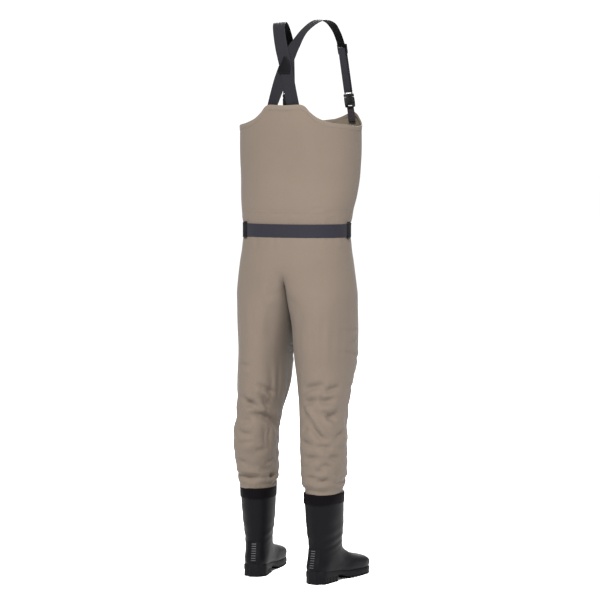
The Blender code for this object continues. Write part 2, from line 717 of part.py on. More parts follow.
def pocket():
    """Pouch with a flat front on the chest, its zip, slider and puller."""
    count = 8
    xs = spread(-POCKET_X, POCKET_X, count)
    outer, inner = [], []
    for z in spread(POCKET_LOW, POCKET_TOP, 4):
        a, b, cy = table(TORSO, z)
        back = []
        for x in xs:
            y = cy - (b + 0.0016) * (1.0 - abs(x / (a + 0.0016)) ** 2.2) ** (1.0 / 2.2)
            back.append(Vector((x, y - (0.0015 if z > 1.3 else 0.0), z)))
        inner.append(back)
        outer.append([Vector((x, POCKET_Y, z)) for x in xs])
    shell("chest_pocket", "fabric", outer, inner)
    y = POCKET_Y - 0.0003
    place = Matrix.Translation((0.0, BODY_Y, 0.0))
    steps = (-0.012, -0.0030, -0.0025, 0.0025, 0.0030, 0.012)
    outer = [[Vector((x, y - (0.0026 if abs(z) < 0.0027 else 0.0008), ZIP_Z + z)) for x in (-0.070, 0.070)]
             for z in steps]
    inner = [[Vector((x, y, ZIP_Z + z)) for x in (-0.070, 0.070)] for z in steps]
    shell("pocket_zip", "webbing", outer, inner)
    at = Matrix.Translation((ZIP_REACH, BODY_Y + y, ZIP_Z))
    slide = boxes("zip_slider", "plastic", [((-0.0050, -0.0062, -0.0045), (0.0050, -0.0032, 0.0045))], at)
    slide.modifiers.new("edge", "BEVEL").width = 0.0008
    hang = at @ Matrix.Translation((0.0, -0.0080, 0.0))
    boxes("zip_puller", "plastic", [((-0.0035, -0.0012, -0.0280), (0.0035, 0.0012, 0.0005))], hang)


def ring_tab():
    """D-ring hung from a short tab under the left of the front bib's edge."""
    at = torso(44.0, 1.300)
    normal = Vector((0.42, -0.90, 0.0)).normalized()
    across = Vector((-normal.y, normal.x, 0.0))
    turn = Matrix((across, -normal, Vector((0.0, 0.0, 1.0)))).transposed().to_4x4()
    place = Matrix.Translation(at + normal * 0.0038 + Vector((0.0, BODY_Y, 0.0))) @ turn
    boxes("dring_tab", "webbing", [((-0.0105, -0.0010, 0.0025), (0.0105, 0.0010, 0.0260))], place)
    low = place @ Matrix.Translation((0.0, -0.0028, 0.0))
    path = []
    for k in range(13):
        t = pi * k / 12.0
        path.append(Vector((0.0125 * cos(t), 0.0, -0.0060 - 0.0125 * sin(t))))
    path = [Vector((0.0125, 0.0, 0.0))] + path + [Vector((-0.0125, 0.0, 0.0))]
    points, faces = [], []
    n = len(path)
    for i in range(n):
        a, b = path[(i - 1) % n], path[(i + 1) % n]
        along = (b - a).normalized()
        out = Vector((along.z, 0.0, -along.x))
        for k in range(6):
            t = 2.0 * pi * k / 6
            points.append(path[i] + out * (0.0015 * cos(t)) + Vector((0.0, 0.0015 * sin(t), 0.0)))
    for i in range(n):
        for k in range(6):
            m, j = (k + 1) % 6, (i + 1) % n
            faces.append((i * 6 + k, i * 6 + m, j * 6 + m, j * 6 + k))
    add("dring", "steel", points, faces, True, low)


def main():
    clear()
    torso_panels()
    leg_panels()
    lower_legs()
    for side in ("left", "right"):
        boot_upper(side)
        boot_bottom(side)
        boot_bands(side)
    straps()
    crossover()
    belt()
    pocket()
    ring_tab()


main()
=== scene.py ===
"""Chest waders: cloth body, moulded boots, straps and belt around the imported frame."""
from bisect import bisect_right
from math import cos, pi, radians, sin

import bmesh
import bpy
import numpy as np
from mathutils import Matrix, Vector, noise
from mathutils.bvhtree import BVHTree


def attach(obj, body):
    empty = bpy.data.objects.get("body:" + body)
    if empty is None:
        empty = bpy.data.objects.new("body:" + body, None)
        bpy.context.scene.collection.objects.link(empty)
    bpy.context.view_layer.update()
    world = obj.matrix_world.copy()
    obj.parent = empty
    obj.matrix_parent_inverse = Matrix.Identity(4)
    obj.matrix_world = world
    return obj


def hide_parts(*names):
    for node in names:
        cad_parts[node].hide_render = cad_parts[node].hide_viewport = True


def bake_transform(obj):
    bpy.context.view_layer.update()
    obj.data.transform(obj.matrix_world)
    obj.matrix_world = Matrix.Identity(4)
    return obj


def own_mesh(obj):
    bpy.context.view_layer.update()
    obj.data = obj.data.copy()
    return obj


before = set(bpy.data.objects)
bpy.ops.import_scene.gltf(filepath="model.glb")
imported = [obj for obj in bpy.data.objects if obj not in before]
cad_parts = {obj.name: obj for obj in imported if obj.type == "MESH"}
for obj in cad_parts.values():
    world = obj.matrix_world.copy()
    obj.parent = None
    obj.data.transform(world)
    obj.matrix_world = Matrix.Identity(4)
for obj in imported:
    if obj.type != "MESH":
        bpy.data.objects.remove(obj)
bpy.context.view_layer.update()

# Dimensions shared with the frame, in metres
BODY_Y = 0.01414
WEB_W = 0.038
Z_WAIST = 1.065
Z_BELT = 1.009
Z_HIP = 0.900
Z_CROTCH = 0.820
Z_LEG = 0.700
Z_KNEE_TOP = 0.600
Z_BOOT = 0.258
POCKET_X = 0.075
POCKET_LOW = 1.130
POCKET_TOP = 1.290
POCKET_Y = -0.165
ZIP_Z = 1.262
ZIP_REACH = 0.060
BUCKLE_W = 0.040
BUCKLE_T = 0.0095
Z_PATCH = 1.480
SIDE = {"right": -1.0, "left": 1.0}
SIDES = ("left", "right")
UP = Vector((0.0, 0.0, 1.0))
SHIFT = Vector((0.0, BODY_Y, 0.0))
# height, half width, half depth, centre
TORSO = (
    (0.820, 0.1800, 0.132, 0.000), (0.851, 0.1765, 0.130, 0.000), (0.920, 0.1680, 0.125, 0.000),
    (0.965, 0.1610, 0.115, 0.000), (1.009, 0.1570, 0.108, 0.000), (1.065, 0.1655, 0.114, -0.005),
    (1.103, 0.1720, 0.118, -0.015), (1.171, 0.1770, 0.122, -0.028), (1.263, 0.1810, 0.125, -0.030),
    (1.380, 0.1810, 0.125, -0.030),
)
# degrees from the front, height
TOP_EDGE = (
    (0.0, 1.324), (16.0, 1.328), (24.0, 1.334), (33.0, 1.343), (43.0, 1.349), (51.0, 1.342),
    (59.0, 1.328), (72.0, 1.314), (85.0, 1.309), (98.0, 1.307), (115.0, 1.311), (131.0, 1.315),
    (144.0, 1.323), (150.0, 1.330), (157.0, 1.345), (163.0, 1.364), (167.0, 1.368), (180.0, 1.366),
)
# height, centre across and along, half width, half depth
LEG = {
    "right": (
        (0.230, 0.1125, 0.069, 0.0500, 0.066), (0.260, 0.1125, 0.069, 0.0510, 0.069),
        (0.300, 0.1120, 0.070, 0.0595, 0.080), (0.417, 0.1080, 0.070, 0.0640, 0.087),
        (0.500, 0.1000, 0.045, 0.0660, 0.091), (0.565, 0.0955, 0.022, 0.0740, 0.104),
        (0.650, 0.0890, -0.001, 0.0845, 0.122), (0.800, 0.0885, -0.001, 0.0870, 0.132),
    ),
    "left": (
        (0.230, 0.1125, 0.021, 0.0500, 0.066), (0.260, 0.1125, 0.021, 0.0510, 0.069),
        (0.300, 0.1125, 0.024, 0.0560, 0.077), (0.417, 0.1085, 0.045, 0.0620, 0.085),
        (0.455, 0.1070, 0.037, 0.0600, 0.087), (0.500, 0.1040, 0.025, 0.0635, 0.090),
        (0.565, 0.0950, 0.013, 0.0700, 0.107), (0.650, 0.0940, 0.005, 0.0720, 0.118),
        (0.800, 0.0850, 0.000, 0.0830, 0.130),
    ),
}
SPLAY = radians(10.0)
# front and back of each section along and up, half width
BOOT = (
    (-0.0680, 0.2580, 0.0680, 0.2580, 0.0510), (-0.0700, 0.2050, 0.0655, 0.2050, 0.0490),
    (-0.0730, 0.1550, 0.0615, 0.1500, 0.0445), (-0.0720, 0.1230, 0.0580, 0.1100, 0.0397),
    (-0.0760, 0.1020, 0.0615, 0.0800, 0.0380), (-0.0880, 0.0880, 0.0680, 0.0500, 0.0372),
    (-0.1050, 0.0770, 0.0520, 0.0300, 0.0370), (-0.1260, 0.0680, -0.0100, 0.0270, 0.0390),
    (-0.1490, 0.0620, -0.0800, 0.0175, 0.0455), (-0.1730, 0.0565, -0.1380, 0.0145, 0.0482),
    (-0.1920, 0.0490, -0.1760, 0.0150, 0.0435), (-0.2035, 0.0395, -0.1980, 0.0180, 0.0305),
    (-0.2062, 0.0340, -0.2040, 0.0220, 0.0185),
)
SOLE_W = ((-0.2065, 0.012), (-0.2005, 0.029), (-0.187, 0.0415), (-0.160, 0.0485), (-0.135, 0.0490),
          (-0.090, 0.0440), (-0.040, 0.0365), (0.010, 0.0350), (0.040, 0.0340), (0.055, 0.0265),
          (0.0635, 0.0120))
SOLE_TOP = ((-0.2065, 0.0150), (-0.170, 0.0115), (-0.130, 0.0115), (-0.080, 0.0140),
            (-0.020, 0.0230), (0.020, 0.0270), (0.0635, 0.0275))
# knots of each shoulder strap: point, direction of its width
ROUTE = {
    "right": (
        ((0.0540, 0.0780, 1.325), (1.0, -0.50, 0.33)), ((0.0480, 0.0795, 1.352), (1.0, -0.50, 0.33)),
        ((0.0310, 0.0820, 1.400), (1.0, -0.20, 0.35)), ((0.0155, 0.0838, 1.442), (1.0, 0.00, 0.37)),
        ((-0.0010, 0.0850, 1.482), (1.0, 0.00, 0.38)), ((-0.0120, 0.0846, 1.509), (1.0, 0.02, 0.42)),
        ((-0.0270, 0.0800, 1.537), (1.0, -0.45, 0.45)), ((-0.0510, 0.0660, 1.579), (1.0, -0.85, 0.30)),
        ((-0.0780, 0.0300, 1.608), (1.0, -0.50, 0.08)), ((-0.0930, -0.0200, 1.605), (1.0, -0.40, 0.08)),
        ((-0.1000, -0.0580, 1.579), (1.0, -0.55, 0.15)), ((-0.1030, -0.0860, 1.546), (1.0, -0.66, 0.10)),
    ),
    "left": (
        ((-0.0280, 0.0830, 1.325), (1.0, 0.08, -0.20)), ((-0.0250, 0.0840, 1.352), (1.0, 0.08, -0.20)),
        ((-0.0160, 0.0862, 1.400), (1.0, 0.03, -0.22)), ((0.0000, 0.0880, 1.482), (1.0, 0.00, -0.24)),
        ((0.0130, 0.0860, 1.534), (1.0, 0.00, -0.24)), ((0.0290, 0.0640, 1.579), (1.0, -0.12, -0.18)),
        ((0.0420, 0.0280, 1.603), (1.0, 0.00, -0.08)), ((0.0540, -0.0200, 1.600), (1.0, 0.10, -0.05)),
        ((0.0620, -0.0620, 1.578), (1.0, 0.20, 0.00)), ((0.0660, -0.0930, 1.546), (1.0, 0.33, 0.00)),
    ),
}
GLIDE = {"right": (-0.1040, -0.0960, 1.530), "left": (0.0680, -0.1040, 1.530)}
BUCKLE = {"right": (-0.1195, -0.1090, 1.392), "left": (0.0755, -0.1290, 1.392)}
TAB_END = {"right": (-0.1262, -0.1158, 1.322), "left": (0.0775, -0.1345, 1.322)}
TAB_ACROSS = {"right": Vector((1.0, -0.66, 0.0)), "left": Vector((1.0, 0.33, 0.0))}


# ---------------------------------------------------------------- curves and sections
def slope(rows, i, c):
    if i in (0, len(rows) - 1):
        return 0.0
    left = (rows[i][c] - rows[i - 1][c]) / (rows[i][0] - rows[i - 1][0])
    right = (rows[i + 1][c] - rows[i][c]) / (rows[i + 1][0] - rows[i][0])
    return 0.0 if left * right <= 0.0 else 2.0 * left * right / (left + right)


def table(rows, at):
    """Smooth reading of a table whose first column rises."""
    if at <= rows[0][0]:
        return rows[0][1:]
    if at >= rows[-1][0]:
        return rows[-1][1:]
    i = 0
    while rows[i + 1][0] < at:
        i += 1
    h = rows[i + 1][0] - rows[i][0]
    f = (at - rows[i][0]) / h
    out = []
    for c in range(1, len(rows[0])):
        v0, v1 = rows[i][c], rows[i + 1][c]
        a = (2 * f ** 3 - 3 * f ** 2 + 1) * v0 + (f ** 3 - 2 * f ** 2 + f) * slope(rows, i, c) * h
        out.append(a + (-2 * f ** 3 + 3 * f ** 2) * v1 + (f ** 3 - f ** 2) * slope(rows, i + 1, c) * h)
    return out


def signed_power(v, e):
    return abs(v) ** e * (1 if v >= 0 else -1)


def oval(t, a, b, power=2.2):
    e = 2.0 / power
    return a * signed_power(sin(t), e), -b * signed_power(cos(t), e)


def torso(deg, z, out=0.0):
    a, b, cy = table(TORSO, z)
    x, y = oval(radians(deg), a + out, b + out)
    return Vector((x, cy + y + BODY_Y, z))


def leg(side, deg, z):
    cx, cy, a, b = table(LEG[side], z)
    x, y = oval(radians(deg), a, b, 2.1)
    return Vector((SIDE[side] * (cx + x), cy + y + BODY_Y, z))


def top_edge(deg):
    return table(TOP_EDGE, abs((deg + 180.0) % 360.0 - 180.0))[0]


def ease(f):
    f = min(max(f, 0.0), 1.0)
    return f * f * (3.0 - 2.0 * f)


def spread(a, b, count):
    return [a + (b - a) * i / count for i in range(count + 1)]


def curve_at(route, f):
    """Point and width direction at a fraction of a route, smooth through its knots."""
    last = len(route) - 1
    at = min(max(f * last, 0.0), last - 1e-6)
    i = int(at)
    u = at - i
    out = []
    for c in range(2):
        p = [Vector(route[min(max(i + k, 0), last)][c]) for k in (-1, 0, 1, 2)]
        a = (p[1] * 2.0) + (p[2] - p[0]) * u
        b = (p[0] * 2.0 - p[1] * 5.0 + p[2] * 4.0 - p[3]) * (u * u)
        d = (p[1] * 3.0 - p[0] - p[2] * 3.0 + p[3]) * (u * u * u)
        out.append((a + b + d) * 0.5)
    return out


def mirrored(half):
    """Outline from its right half, given from the bottom up."""
    return [(-x, z) for x, z in reversed(half)] + list(half)


# ---------------------------------------------------------------- materials
PALETTE_LEVEL = 0.595    # how far the palette is lowered for the studio's lamps


def feed(tree, target, inputs):
    """Gives a node's inputs, by name or number, a value or another node's output."""
    for key, value in inputs.items():
        if isinstance(value, bpy.types.NodeSocket):
            tree.links.new(value, target.inputs[key])
        else:
            target.inputs[key].default_value = value


def node(tree, kind, inputs, out=0, **settings):
    made = tree.nodes.new("ShaderNode" + kind)
    for key, value in settings.items():
        setattr(made, key, value)
    feed(tree, made, inputs)
    return made.outputs[out]


def new_material(name):
    """A material with its node tree and the object's own coordinates."""
    made = bpy.data.materials.new(name)
    made.use_nodes = True
    return made, made.node_tree, node(made.node_tree, "TexCoord", {}, "Object")


def shade(tree, **inputs):
    feed(tree, tree.nodes["Principled BSDF"], {key.replace("_", " "): v for key, v in inputs.items()})


def noisy(tree, place, scale, detail, rough):
    return node(tree, "TexNoise", {"Vector": place, "Scale": scale, "Detail": detail, "Roughness": rough})


def maths(tree, operation, *values, use_clamp=False):
    return node(tree, "Math", dict(enumerate(values)), operation=operation, use_clamp=use_clamp)


def mixed(tree, amount, colour, other):
    return node(tree, "Mix", {0: amount, 6: colour, 7: other}, 2, data_type="RGBA")


def bump(tree, height, strength, distance, **more):
    return node(tree, "Bump", {"Height": height, "Strength": strength, "Distance": distance, **more})


def rgb(r, g, b):
    """Linear colour from 0-255 display values."""
    def lin(c):
        c /= 255.0
        return c / 12.92 if c <= 0.04045 else ((c + 0.055) / 1.055) ** 2.4
    return (PALETTE_LEVEL * lin(r), PALETTE_LEVEL * lin(g), PALETTE_LEVEL * lin(b), 1.0)


def cloth_material(name, colour, dark, sheen=0.0):
    """Woven cloth: fine two-way weave, soft mottling, slight sheen."""
    made, tree, place = new_material(name)
    small = noisy(tree, place, 160.0, 3.0, 0.7)
    speckle = maths(tree, "MULTIPLY", small, 0.35)
    mottle = maths(tree, "MULTIPLY_ADD", noisy(tree, place, 9.0, 4.0, 0.6), 0.5, speckle)
    threads = [node(tree, "TexWave", {"Vector": place, "Scale": 1400.0 / 6.28, "Distortion": 0.6}, "Fac",
                    bands_direction=axis) for axis in "XYZ"]
    weave = threads[0]
    for more in (*threads[1:], small):
        weave = maths(tree, "ADD", weave, more)
    fine = bump(tree, weave, 0.35, 0.00004)
    soft = bump(tree, noisy(tree, place, 28.0, 5.0, 0.55), 0.25, 0.0016, Normal=fine)
    shade(tree, Base_Color=mixed(tree, mottle, colour, dark), Normal=soft, Roughness=0.78,
          Sheen_Weight=sheen, Sheen_Roughness=0.5, Specular_IOR_Level=0.15)
    return made


def web_material(name, colour, dark, scale=520.0, sheen=0.02, spec=0.08):
    """Flat woven webbing: rows of small cross threads with darker gaps."""
    made, tree, place = new_material(name)
    thread = node(tree, "TexVoronoi", {"Vector": place, "Scale": scale}, "Distance")
    gaps = maths(tree, "MULTIPLY", noisy(tree, place, 420.0, 3.0, 0.7), thread)
    shade(tree, Base_Color=mixed(tree, gaps, colour, dark), Normal=bump(tree, thread, 0.5, 0.00025),
          Roughness=0.68, Sheen_Weight=sheen, Specular_IOR_Level=spec)
    return made


def moulded_material(name, colour, edge, rough, grain=900.0, depth=0.00006, metal=0.0, spec=0.5):
    """Moulded plastic, rubber or metal: fine grain, uneven gloss, paler worn edges."""
    made, tree, place = new_material(name)
    fine = noisy(tree, place, grain, 2.0, 0.6)
    broad = noisy(tree, place, 22.0, 5.0, 0.65)
    edges = node(tree, "NewGeometry", {}, "Pointiness")
    worn = node(tree, "MapRange", {"Value": edges, "From Min": 0.52, "From Max": 0.62, "To Max": 0.6})
    paler = maths(tree, "MULTIPLY_ADD", broad, 0.35, worn, use_clamp=True)
    gloss = node(tree, "MapRange", {"Value": broad, "To Min": rough - 0.08, "To Max": rough + 0.12})
    shade(tree, Base_Color=mixed(tree, paler, colour, edge), Roughness=gloss, Metallic=metal,
          Normal=bump(tree, fine, 0.4, depth), Specular_IOR_Level=spec)
    return made


M = {
    "fabric": cloth_material("wader_cloth", rgb(105, 93, 83), rgb(92, 82, 72), 0.03),
    "lining": cloth_material("cloth_lining", rgb(110, 100, 86), rgb(97, 89, 76)),
    "hem": cloth_material("hem_cloth", rgb(108, 96, 86), rgb(95, 85, 75), 0.03),
    "foam": cloth_material("insole_cloth", rgb(80, 80, 84), rgb(56, 56, 60)),
    "thread": cloth_material("sewing_thread", rgb(95, 84, 75), rgb(82, 73, 65)),
    "dark_thread": cloth_material("dark_thread", rgb(30, 29, 33), rgb(20, 20, 23)),
    "webbing": web_material("belt_webbing_weave", rgb(37, 36, 44), rgb(15, 15, 20)),
    "tab": web_material("tab_webbing_weave", rgb(54, 46, 53), rgb(26, 23, 27)),
    "elastic": web_material("elastic_weave", rgb(29, 28, 33), rgb(10, 9, 13), 700.0),
    # painted shade: near-black colour for the elastic's inner face, standing in for the shade it lies in
    "painted_shade_web": web_material("inner_elastic_painted_shade", rgb(5, 4, 6), rgb(2, 2, 3), 700.0, 0.0, 0.02),
    "cuff": web_material("cuff_knit", rgb(9, 6, 9), rgb(3, 2, 3), 900.0, 0.0, 0.03),
    "plastic": moulded_material("buckle_plastic", rgb(7, 7, 8), rgb(20, 20, 23), 0.45, spec=0.18),
    "patch": moulded_material("patch_vinyl", rgb(7, 6, 9), rgb(13, 12, 15), 0.6, 420.0, 0.0002, spec=0.05),
    "boot": moulded_material("boot_pvc", rgb(9, 8, 11), rgb(17, 17, 21), 0.50, 700.0, 0.00005, spec=0.05),
    # painted highlight: pale colour for the heel rib crests that face the lamps
    "rib": moulded_material("heel_rib_painted_highlight", rgb(62, 62, 64), rgb(84, 84, 86), 0.45, 700.0, 0.00005, spec=0.2),
    "sole": moulded_material("sole_rubber", rgb(10, 9, 12), rgb(18, 18, 22), 0.62, 500.0, 0.0001, spec=0.06),
    "steel": moulded_material("ring_steel", rgb(180, 180, 184), rgb(215, 215, 218), 0.28, 500.0, 0.00001,
                              metal=1.0),
}


# ---------------------------------------------------------------- mesh helpers
def add_object(name, data):
    obj = bpy.data.objects.new(name, data)
    bpy.context.scene.collection.objects.link(obj)
    return obj


def make(name, points, faces, material, smooth=True, place=None):
    mesh = bpy.data.meshes.new(name)
    mesh.from_pydata([tuple(p) for p in points], [], faces)
    mesh.materials.append(M[material])
    mesh.polygons.foreach_set("use_smooth", [smooth] * len(mesh.polygons))
    mesh.update()
    obj = add_object(name, mesh)
    if place:
        obj.matrix_world = place
    return obj


def clean(obj, weld=False):
    """Turns all faces outwards; weld first joins points that lie in one place."""
    work = bmesh.new()
    work.from_mesh(obj.data)
    if weld:
        bmesh.ops.remove_doubles(work, verts=work.verts, dist=1e-6)
    bmesh.ops.recalc_face_normals(work, faces=work.faces)
    work.to_mesh(obj.data)
    work.free()
    return obj


def grid(name, rings, material, closed=True, caps=False, place=None):
    """Skin over rings of points; closed joins each ring's ends, caps fills the first and last."""
    cols = len(rings[0])
    points = [p for ring in rings for p in ring]
    faces = []
    for i in range(len(rings) - 1):
        for j in range(cols if closed else cols - 1):
            k = (j + 1) % cols
            faces.append((i * cols + j, i * cols + k, (i + 1) * cols + k, (i + 1) * cols + j))
    if caps:
        faces.append(tuple(range(cols))[::-1])
        faces.append(tuple((len(rings) - 1) * cols + j for j in range(cols)))
    return clean(make(name, points, faces, material, place=place))


def hoop(name, rings, material, place=None):
    """Skin over rings of points whose last ring meets the first."""
    return clean(grid(name, rings + rings[:1], material, place=place), True)


def evaluated(obj):
    return obj.evaluated_get(bpy.context.evaluated_depsgraph_get())


def apply_modifiers(obj):
    bpy.context.view_layer.update()
    mesh = bpy.data.meshes.new_from_object(evaluated(obj))
    obj.modifiers.clear()
    obj.data = mesh


def freeze(obj):
    """Applies the modifiers of a moulded piece and keeps its edges crisp."""
    apply_modifiers(obj)
    obj.data.polygons.foreach_set("use_smooth", [True] * len(obj.data.polygons))
    obj.data.set_sharp_from_angle(angle=radians(30))


def strip_profile(width, thick, ribs, depth, count):
    """Cross-section of webbing: rounded edges, ribs along both faces."""
    top = []
    for u in spread(-1.0, 1.0, count):
        edge = max(0.0, 1.0 - abs(u) ** 14) ** 0.5
        rib = depth * (0.5 + 0.5 * cos(u * pi * ribs))
        top.append((u * width / 2.0, (thick / 2.0 - rib) * (0.25 + 0.75 * edge)))
    return top + [(u, -h) for u, h in reversed(top)]


def sweep(name, frames, material, width, thick, ribs, depth, count=36, closed=False):
    """Webbing along frames of (point, across); the profile's height is along x across."""
    profile = strip_profile(width, thick, ribs, depth, count)
    rings = []
    n = len(frames)
    for i, (p, across) in enumerate(frames):
        a = frames[(i - 1) % n if closed else max(i - 1, 0)][0]
        b = frames[(i + 1) % n if closed else min(i + 1, n - 1)][0]
        along = (b - a).normalized()
        side = (across - along * across.dot(along)).normalized()
        up = along.cross(side).normalized()
        rings.append([p + side * u + up * h for u, h in profile])
    return hoop(name, rings, material) if closed else grid(name, rings, material, True, True)


def finish_piece(obj, body, slot, *nodes):
    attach(obj, body)
    if nodes:
        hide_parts(*nodes)
    return obj


def keep_cad(name, material):
    """A frame solid that stays as it is, with a finer material."""
    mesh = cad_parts[name].data
    mesh.materials.clear()
    mesh.materials.append(M[material])


def sew(name, path, slot="seam", material="thread", length=0.0026, gap=0.0014):
    """A row of sewn stitches on the torso; path is a list of (point, normal)."""
    width, height, sink, sides = 0.0006, 0.0004, 0.0001, 6
    shape = ((0.0, 0.25), (0.18, 0.85), (0.5, 1.0), (0.82, 0.85), (1.0, 0.25))
    dist = [0.0]
    for (a, _), (b, _) in zip(path, path[1:]):
        dist.append(dist[-1] + (b - a).length)

    def at(s):
        s = min(s, dist[-1])
        i = bisect_right(dist, s, 0, len(dist) - 1) - 1
        f = (s - dist[i]) / max(dist[i + 1] - dist[i], 1e-9)
        return path[i][0].lerp(path[i + 1][0], f), path[i][1].lerp(path[i + 1][1], f).normalized()

    points, faces = [], []
    s = gap
    while s + length < dist[-1]:
        base = len(points)
        along = (at(s + length)[0] - at(s)[0]).normalized()
        for f, size in shape:
            p, n = at(s + f * length)
            side = along.cross(n).normalized()
            for k in range(sides):
                t = 2.0 * pi * k / sides
                points.append(p + side * (cos(t) * width / 2 * size) + n * (sin(t) * height * size - sink))
        for r in range(base, base + sides * (len(shape) - 1), sides):
            for k in range(sides):
                m = (k + 1) % sides
                faces.append((r + k, r + m, r + sides + m, r + sides + k))
        faces.append(tuple(base + k for k in range(sides))[::-1])
        faces.append(tuple(base + sides * (len(shape) - 1) + k for k in range(sides)))
        s += length + gap
    finish_piece(make(name, points, faces, material), "torso", slot)


# ---------------------------------------------------------------- cloth body
TORSO_COLS = 96
TORSO_ROWS = 56
FORK_COLS = 12
LEG_ROWS = 116


def fork_z(g):
    return Z_CROTCH + (Z_HIP - Z_CROTCH) * cos(g) ** 2


def fork_point(front, z, g):
    """Point of the fork line, which runs between the legs from front to back."""
    edge = torso(0.0 if front else 180.0, max(z, Z_CROTCH))
    return Vector((0.0, (edge.y - BODY_Y) * cos(g) + BODY_Y, z))


def leg_point(side, kind, top, ring, f):
    """Point of a leg column at fraction f from its top to the boot."""
    g = radians(abs(top))
    z_top = fork_z(g) if kind == "fork" else Z_HIP
    z = z_top + (Z_BOOT + 0.001 - z_top) * f
    upper = fork_point(top >= 0, z, g) if kind == "fork" else torso(SIDE[side] * top, z)
    blend = ease((z_top - z) / (z_top - Z_LEG))
    point = upper.lerp(leg(side, ring, z), blend)
    point.z = z
    return point


def body_mesh():
    """One skin: torso rings, then two leg tubes that share the fork line."""
    points, faces, parts, rows, fork = [], [], [], [], {}
    half = TORSO_COLS // 2

    def add(point, part):
        points.append(point)
        parts.append(part)
        return len(points) - 1

    for f in spread(0.0, 1.0, TORSO_ROWS):
        row = []
        for k in range(TORSO_COLS):
            deg = 360.0 * k / TORSO_COLS
            row.append(add(torso(deg, Z_HIP + (top_edge(deg) - 0.001 - Z_HIP) * f), 0))
        rows.append(row)
    for a, b in zip(rows, rows[1:]):
        for k in range(TORSO_COLS):
            m = (k + 1) % TORSO_COLS
            faces.append((a[k], a[m], b[m], b[k]))
    for j in range(1, 2 * FORK_COLS):
        top = 90.0 * j / FORK_COLS
        g = radians(top if top <= 90.0 else 180.0 - top)
        fork[j] = add(fork_point(top <= 90.0, fork_z(g), g), 0)
    for part, side in enumerate(SIDES, 1):
        cols = []
        for k in range(half + 1):
            index = k if side == "left" else (-k) % TORSO_COLS
            cols.append(("hip", 180.0 * k / half, -45.0 + 270.0 * k / half, rows[0][index]))
        for j in range(2 * FORK_COLS - 1, 0, -1):
            top = 90.0 * j / FORK_COLS
            ring = -45.0 - 90.0 * j / (2 * FORK_COLS)
            cols.append(("fork", top if top <= 90.0 else -(180.0 - top), ring, fork[j]))
        last = [c[3] for c in cols]
        for i in range(1, LEG_ROWS + 1):
            now = [add(leg_point(side, kind, top, ring, i / LEG_ROWS), part) for kind, top, ring, _ in cols]
            for k in range(len(cols)):
                m = (k + 1) % len(cols)
                quad = (last[k], last[m], now[m], now[k])
                faces.append(quad if side == "right" else quad[::-1])
            last = now
    return np.array([tuple(p) for p in points]), faces, np.array(parts)


def relax(co, faces, weight, rounds):
    """Laplacian smoothing with a weight for each point; weight 0 stays."""
    edges = set()
    for f in faces:
        for a, b in zip(f, f[1:] + f[:1]):
            edges.add((min(a, b), max(a, b)))
    edges = np.array(sorted(edges))
    count = np.bincount(edges.ravel(), minlength=len(co))[:, None]
    for _ in range(rounds):
        total = np.zeros_like(co)
        np.add.at(total, edges[:, 0], co[edges[:, 1]])
        np.add.at(total, edges[:, 1], co[edges[:, 0]])
        co = co + (total / count - co) * weight[:, None]
    return co


def hump(x, centre, width):
    return np.exp(-((x - centre) / width) ** 2)


def body_folds(co, parts):
    """Moves off the skin for the gathers at belt and waist and the first waves of the legs."""
    x, y, z = co.T
    ang = np.arctan2(x, -(y - BODY_Y))
    gather = 0.55 * np.sin(23 * ang + 1.3 * np.sin(5 * ang))
    gather = gather + 0.45 * np.sin(37 * ang + 2.0 + 2 * np.sin(3 * ang))
    above = hump(z, Z_BELT + 0.033, 0.016)
    below = hump(z, Z_BELT - 0.034, 0.018)
    upper = parts == 0
    out = upper * (above * (0.0022 + 0.0016 * gather) + below * (0.0018 + 0.0013 * gather))
    out = out + upper * 0.0012 * np.sin(2.1 * ang + 9.0 * z) * hump(z, 1.20, 0.09)
    for part, side, ph in ((1, "left", 0.0), (2, "right", 1.9)):
        mask = parts == part
        zz = z[mask]
        centre = np.array([table(LEG[side], v)[:2] for v in zz])
        a = np.arctan2(SIDE[side] * x[mask] - centre[:, 0], -(y[mask] - BODY_Y - centre[:, 1]))
        stack = np.sin(zz * 2 * pi / 0.034 + 1.2 * np.sin(a + ph) + 0.9 * np.sin(2 * a + 2 * ph))
        drape = np.sin(zz * 2 * pi / 0.058 + 2.2 * np.cos(a + 0.5 + ph) + ph)
        broad = np.sin(zz * 2 * pi / 0.15 + 2.5 * np.sin(a + ph))
        slim = hump(zz, 0.645, 0.045) * np.maximum(-np.sin(a), 0.0)
        waves = 0.0014 * hump(zz, 0.325, 0.05) * stack + 0.0024 * hump(zz, 0.47, 0.075) * drape
        out[mask] = waves + 0.0012 * hump(zz, 0.66, 0.10) * broad - 0.0035 * slim
        if side == "right":
            full = np.interp(zz, [0.27, 0.32, 0.68, 0.76], [0.0, 1.0, 1.0, 0.0])
            out[mask] += 0.0080 * (full * np.maximum(np.cos(a - 1.83), 0.0))
    return out


def corners(mesh, kind="co"):
    return np.array([getattr(v, kind) for v in mesh.vertices])


def place_corners(mesh, co):
    mesh.vertices.foreach_set("co", co.astype(np.float32).ravel())


CLOTH = {
    "quality": 6, "mass": 0.25, "tension_stiffness": 18, "compression_stiffness": 18, "shear_stiffness": 6,
    "bending_stiffness": 0.6, "tension_damping": 6, "compression_damping": 6, "shear_damping": 6,
    "bending_damping": 0.5, "air_damping": 3, "vertex_group_mass": "pin", "pin_stiffness": 1.0,
    "use_pressure": True, "uniform_pressure_force": 1.2,
}


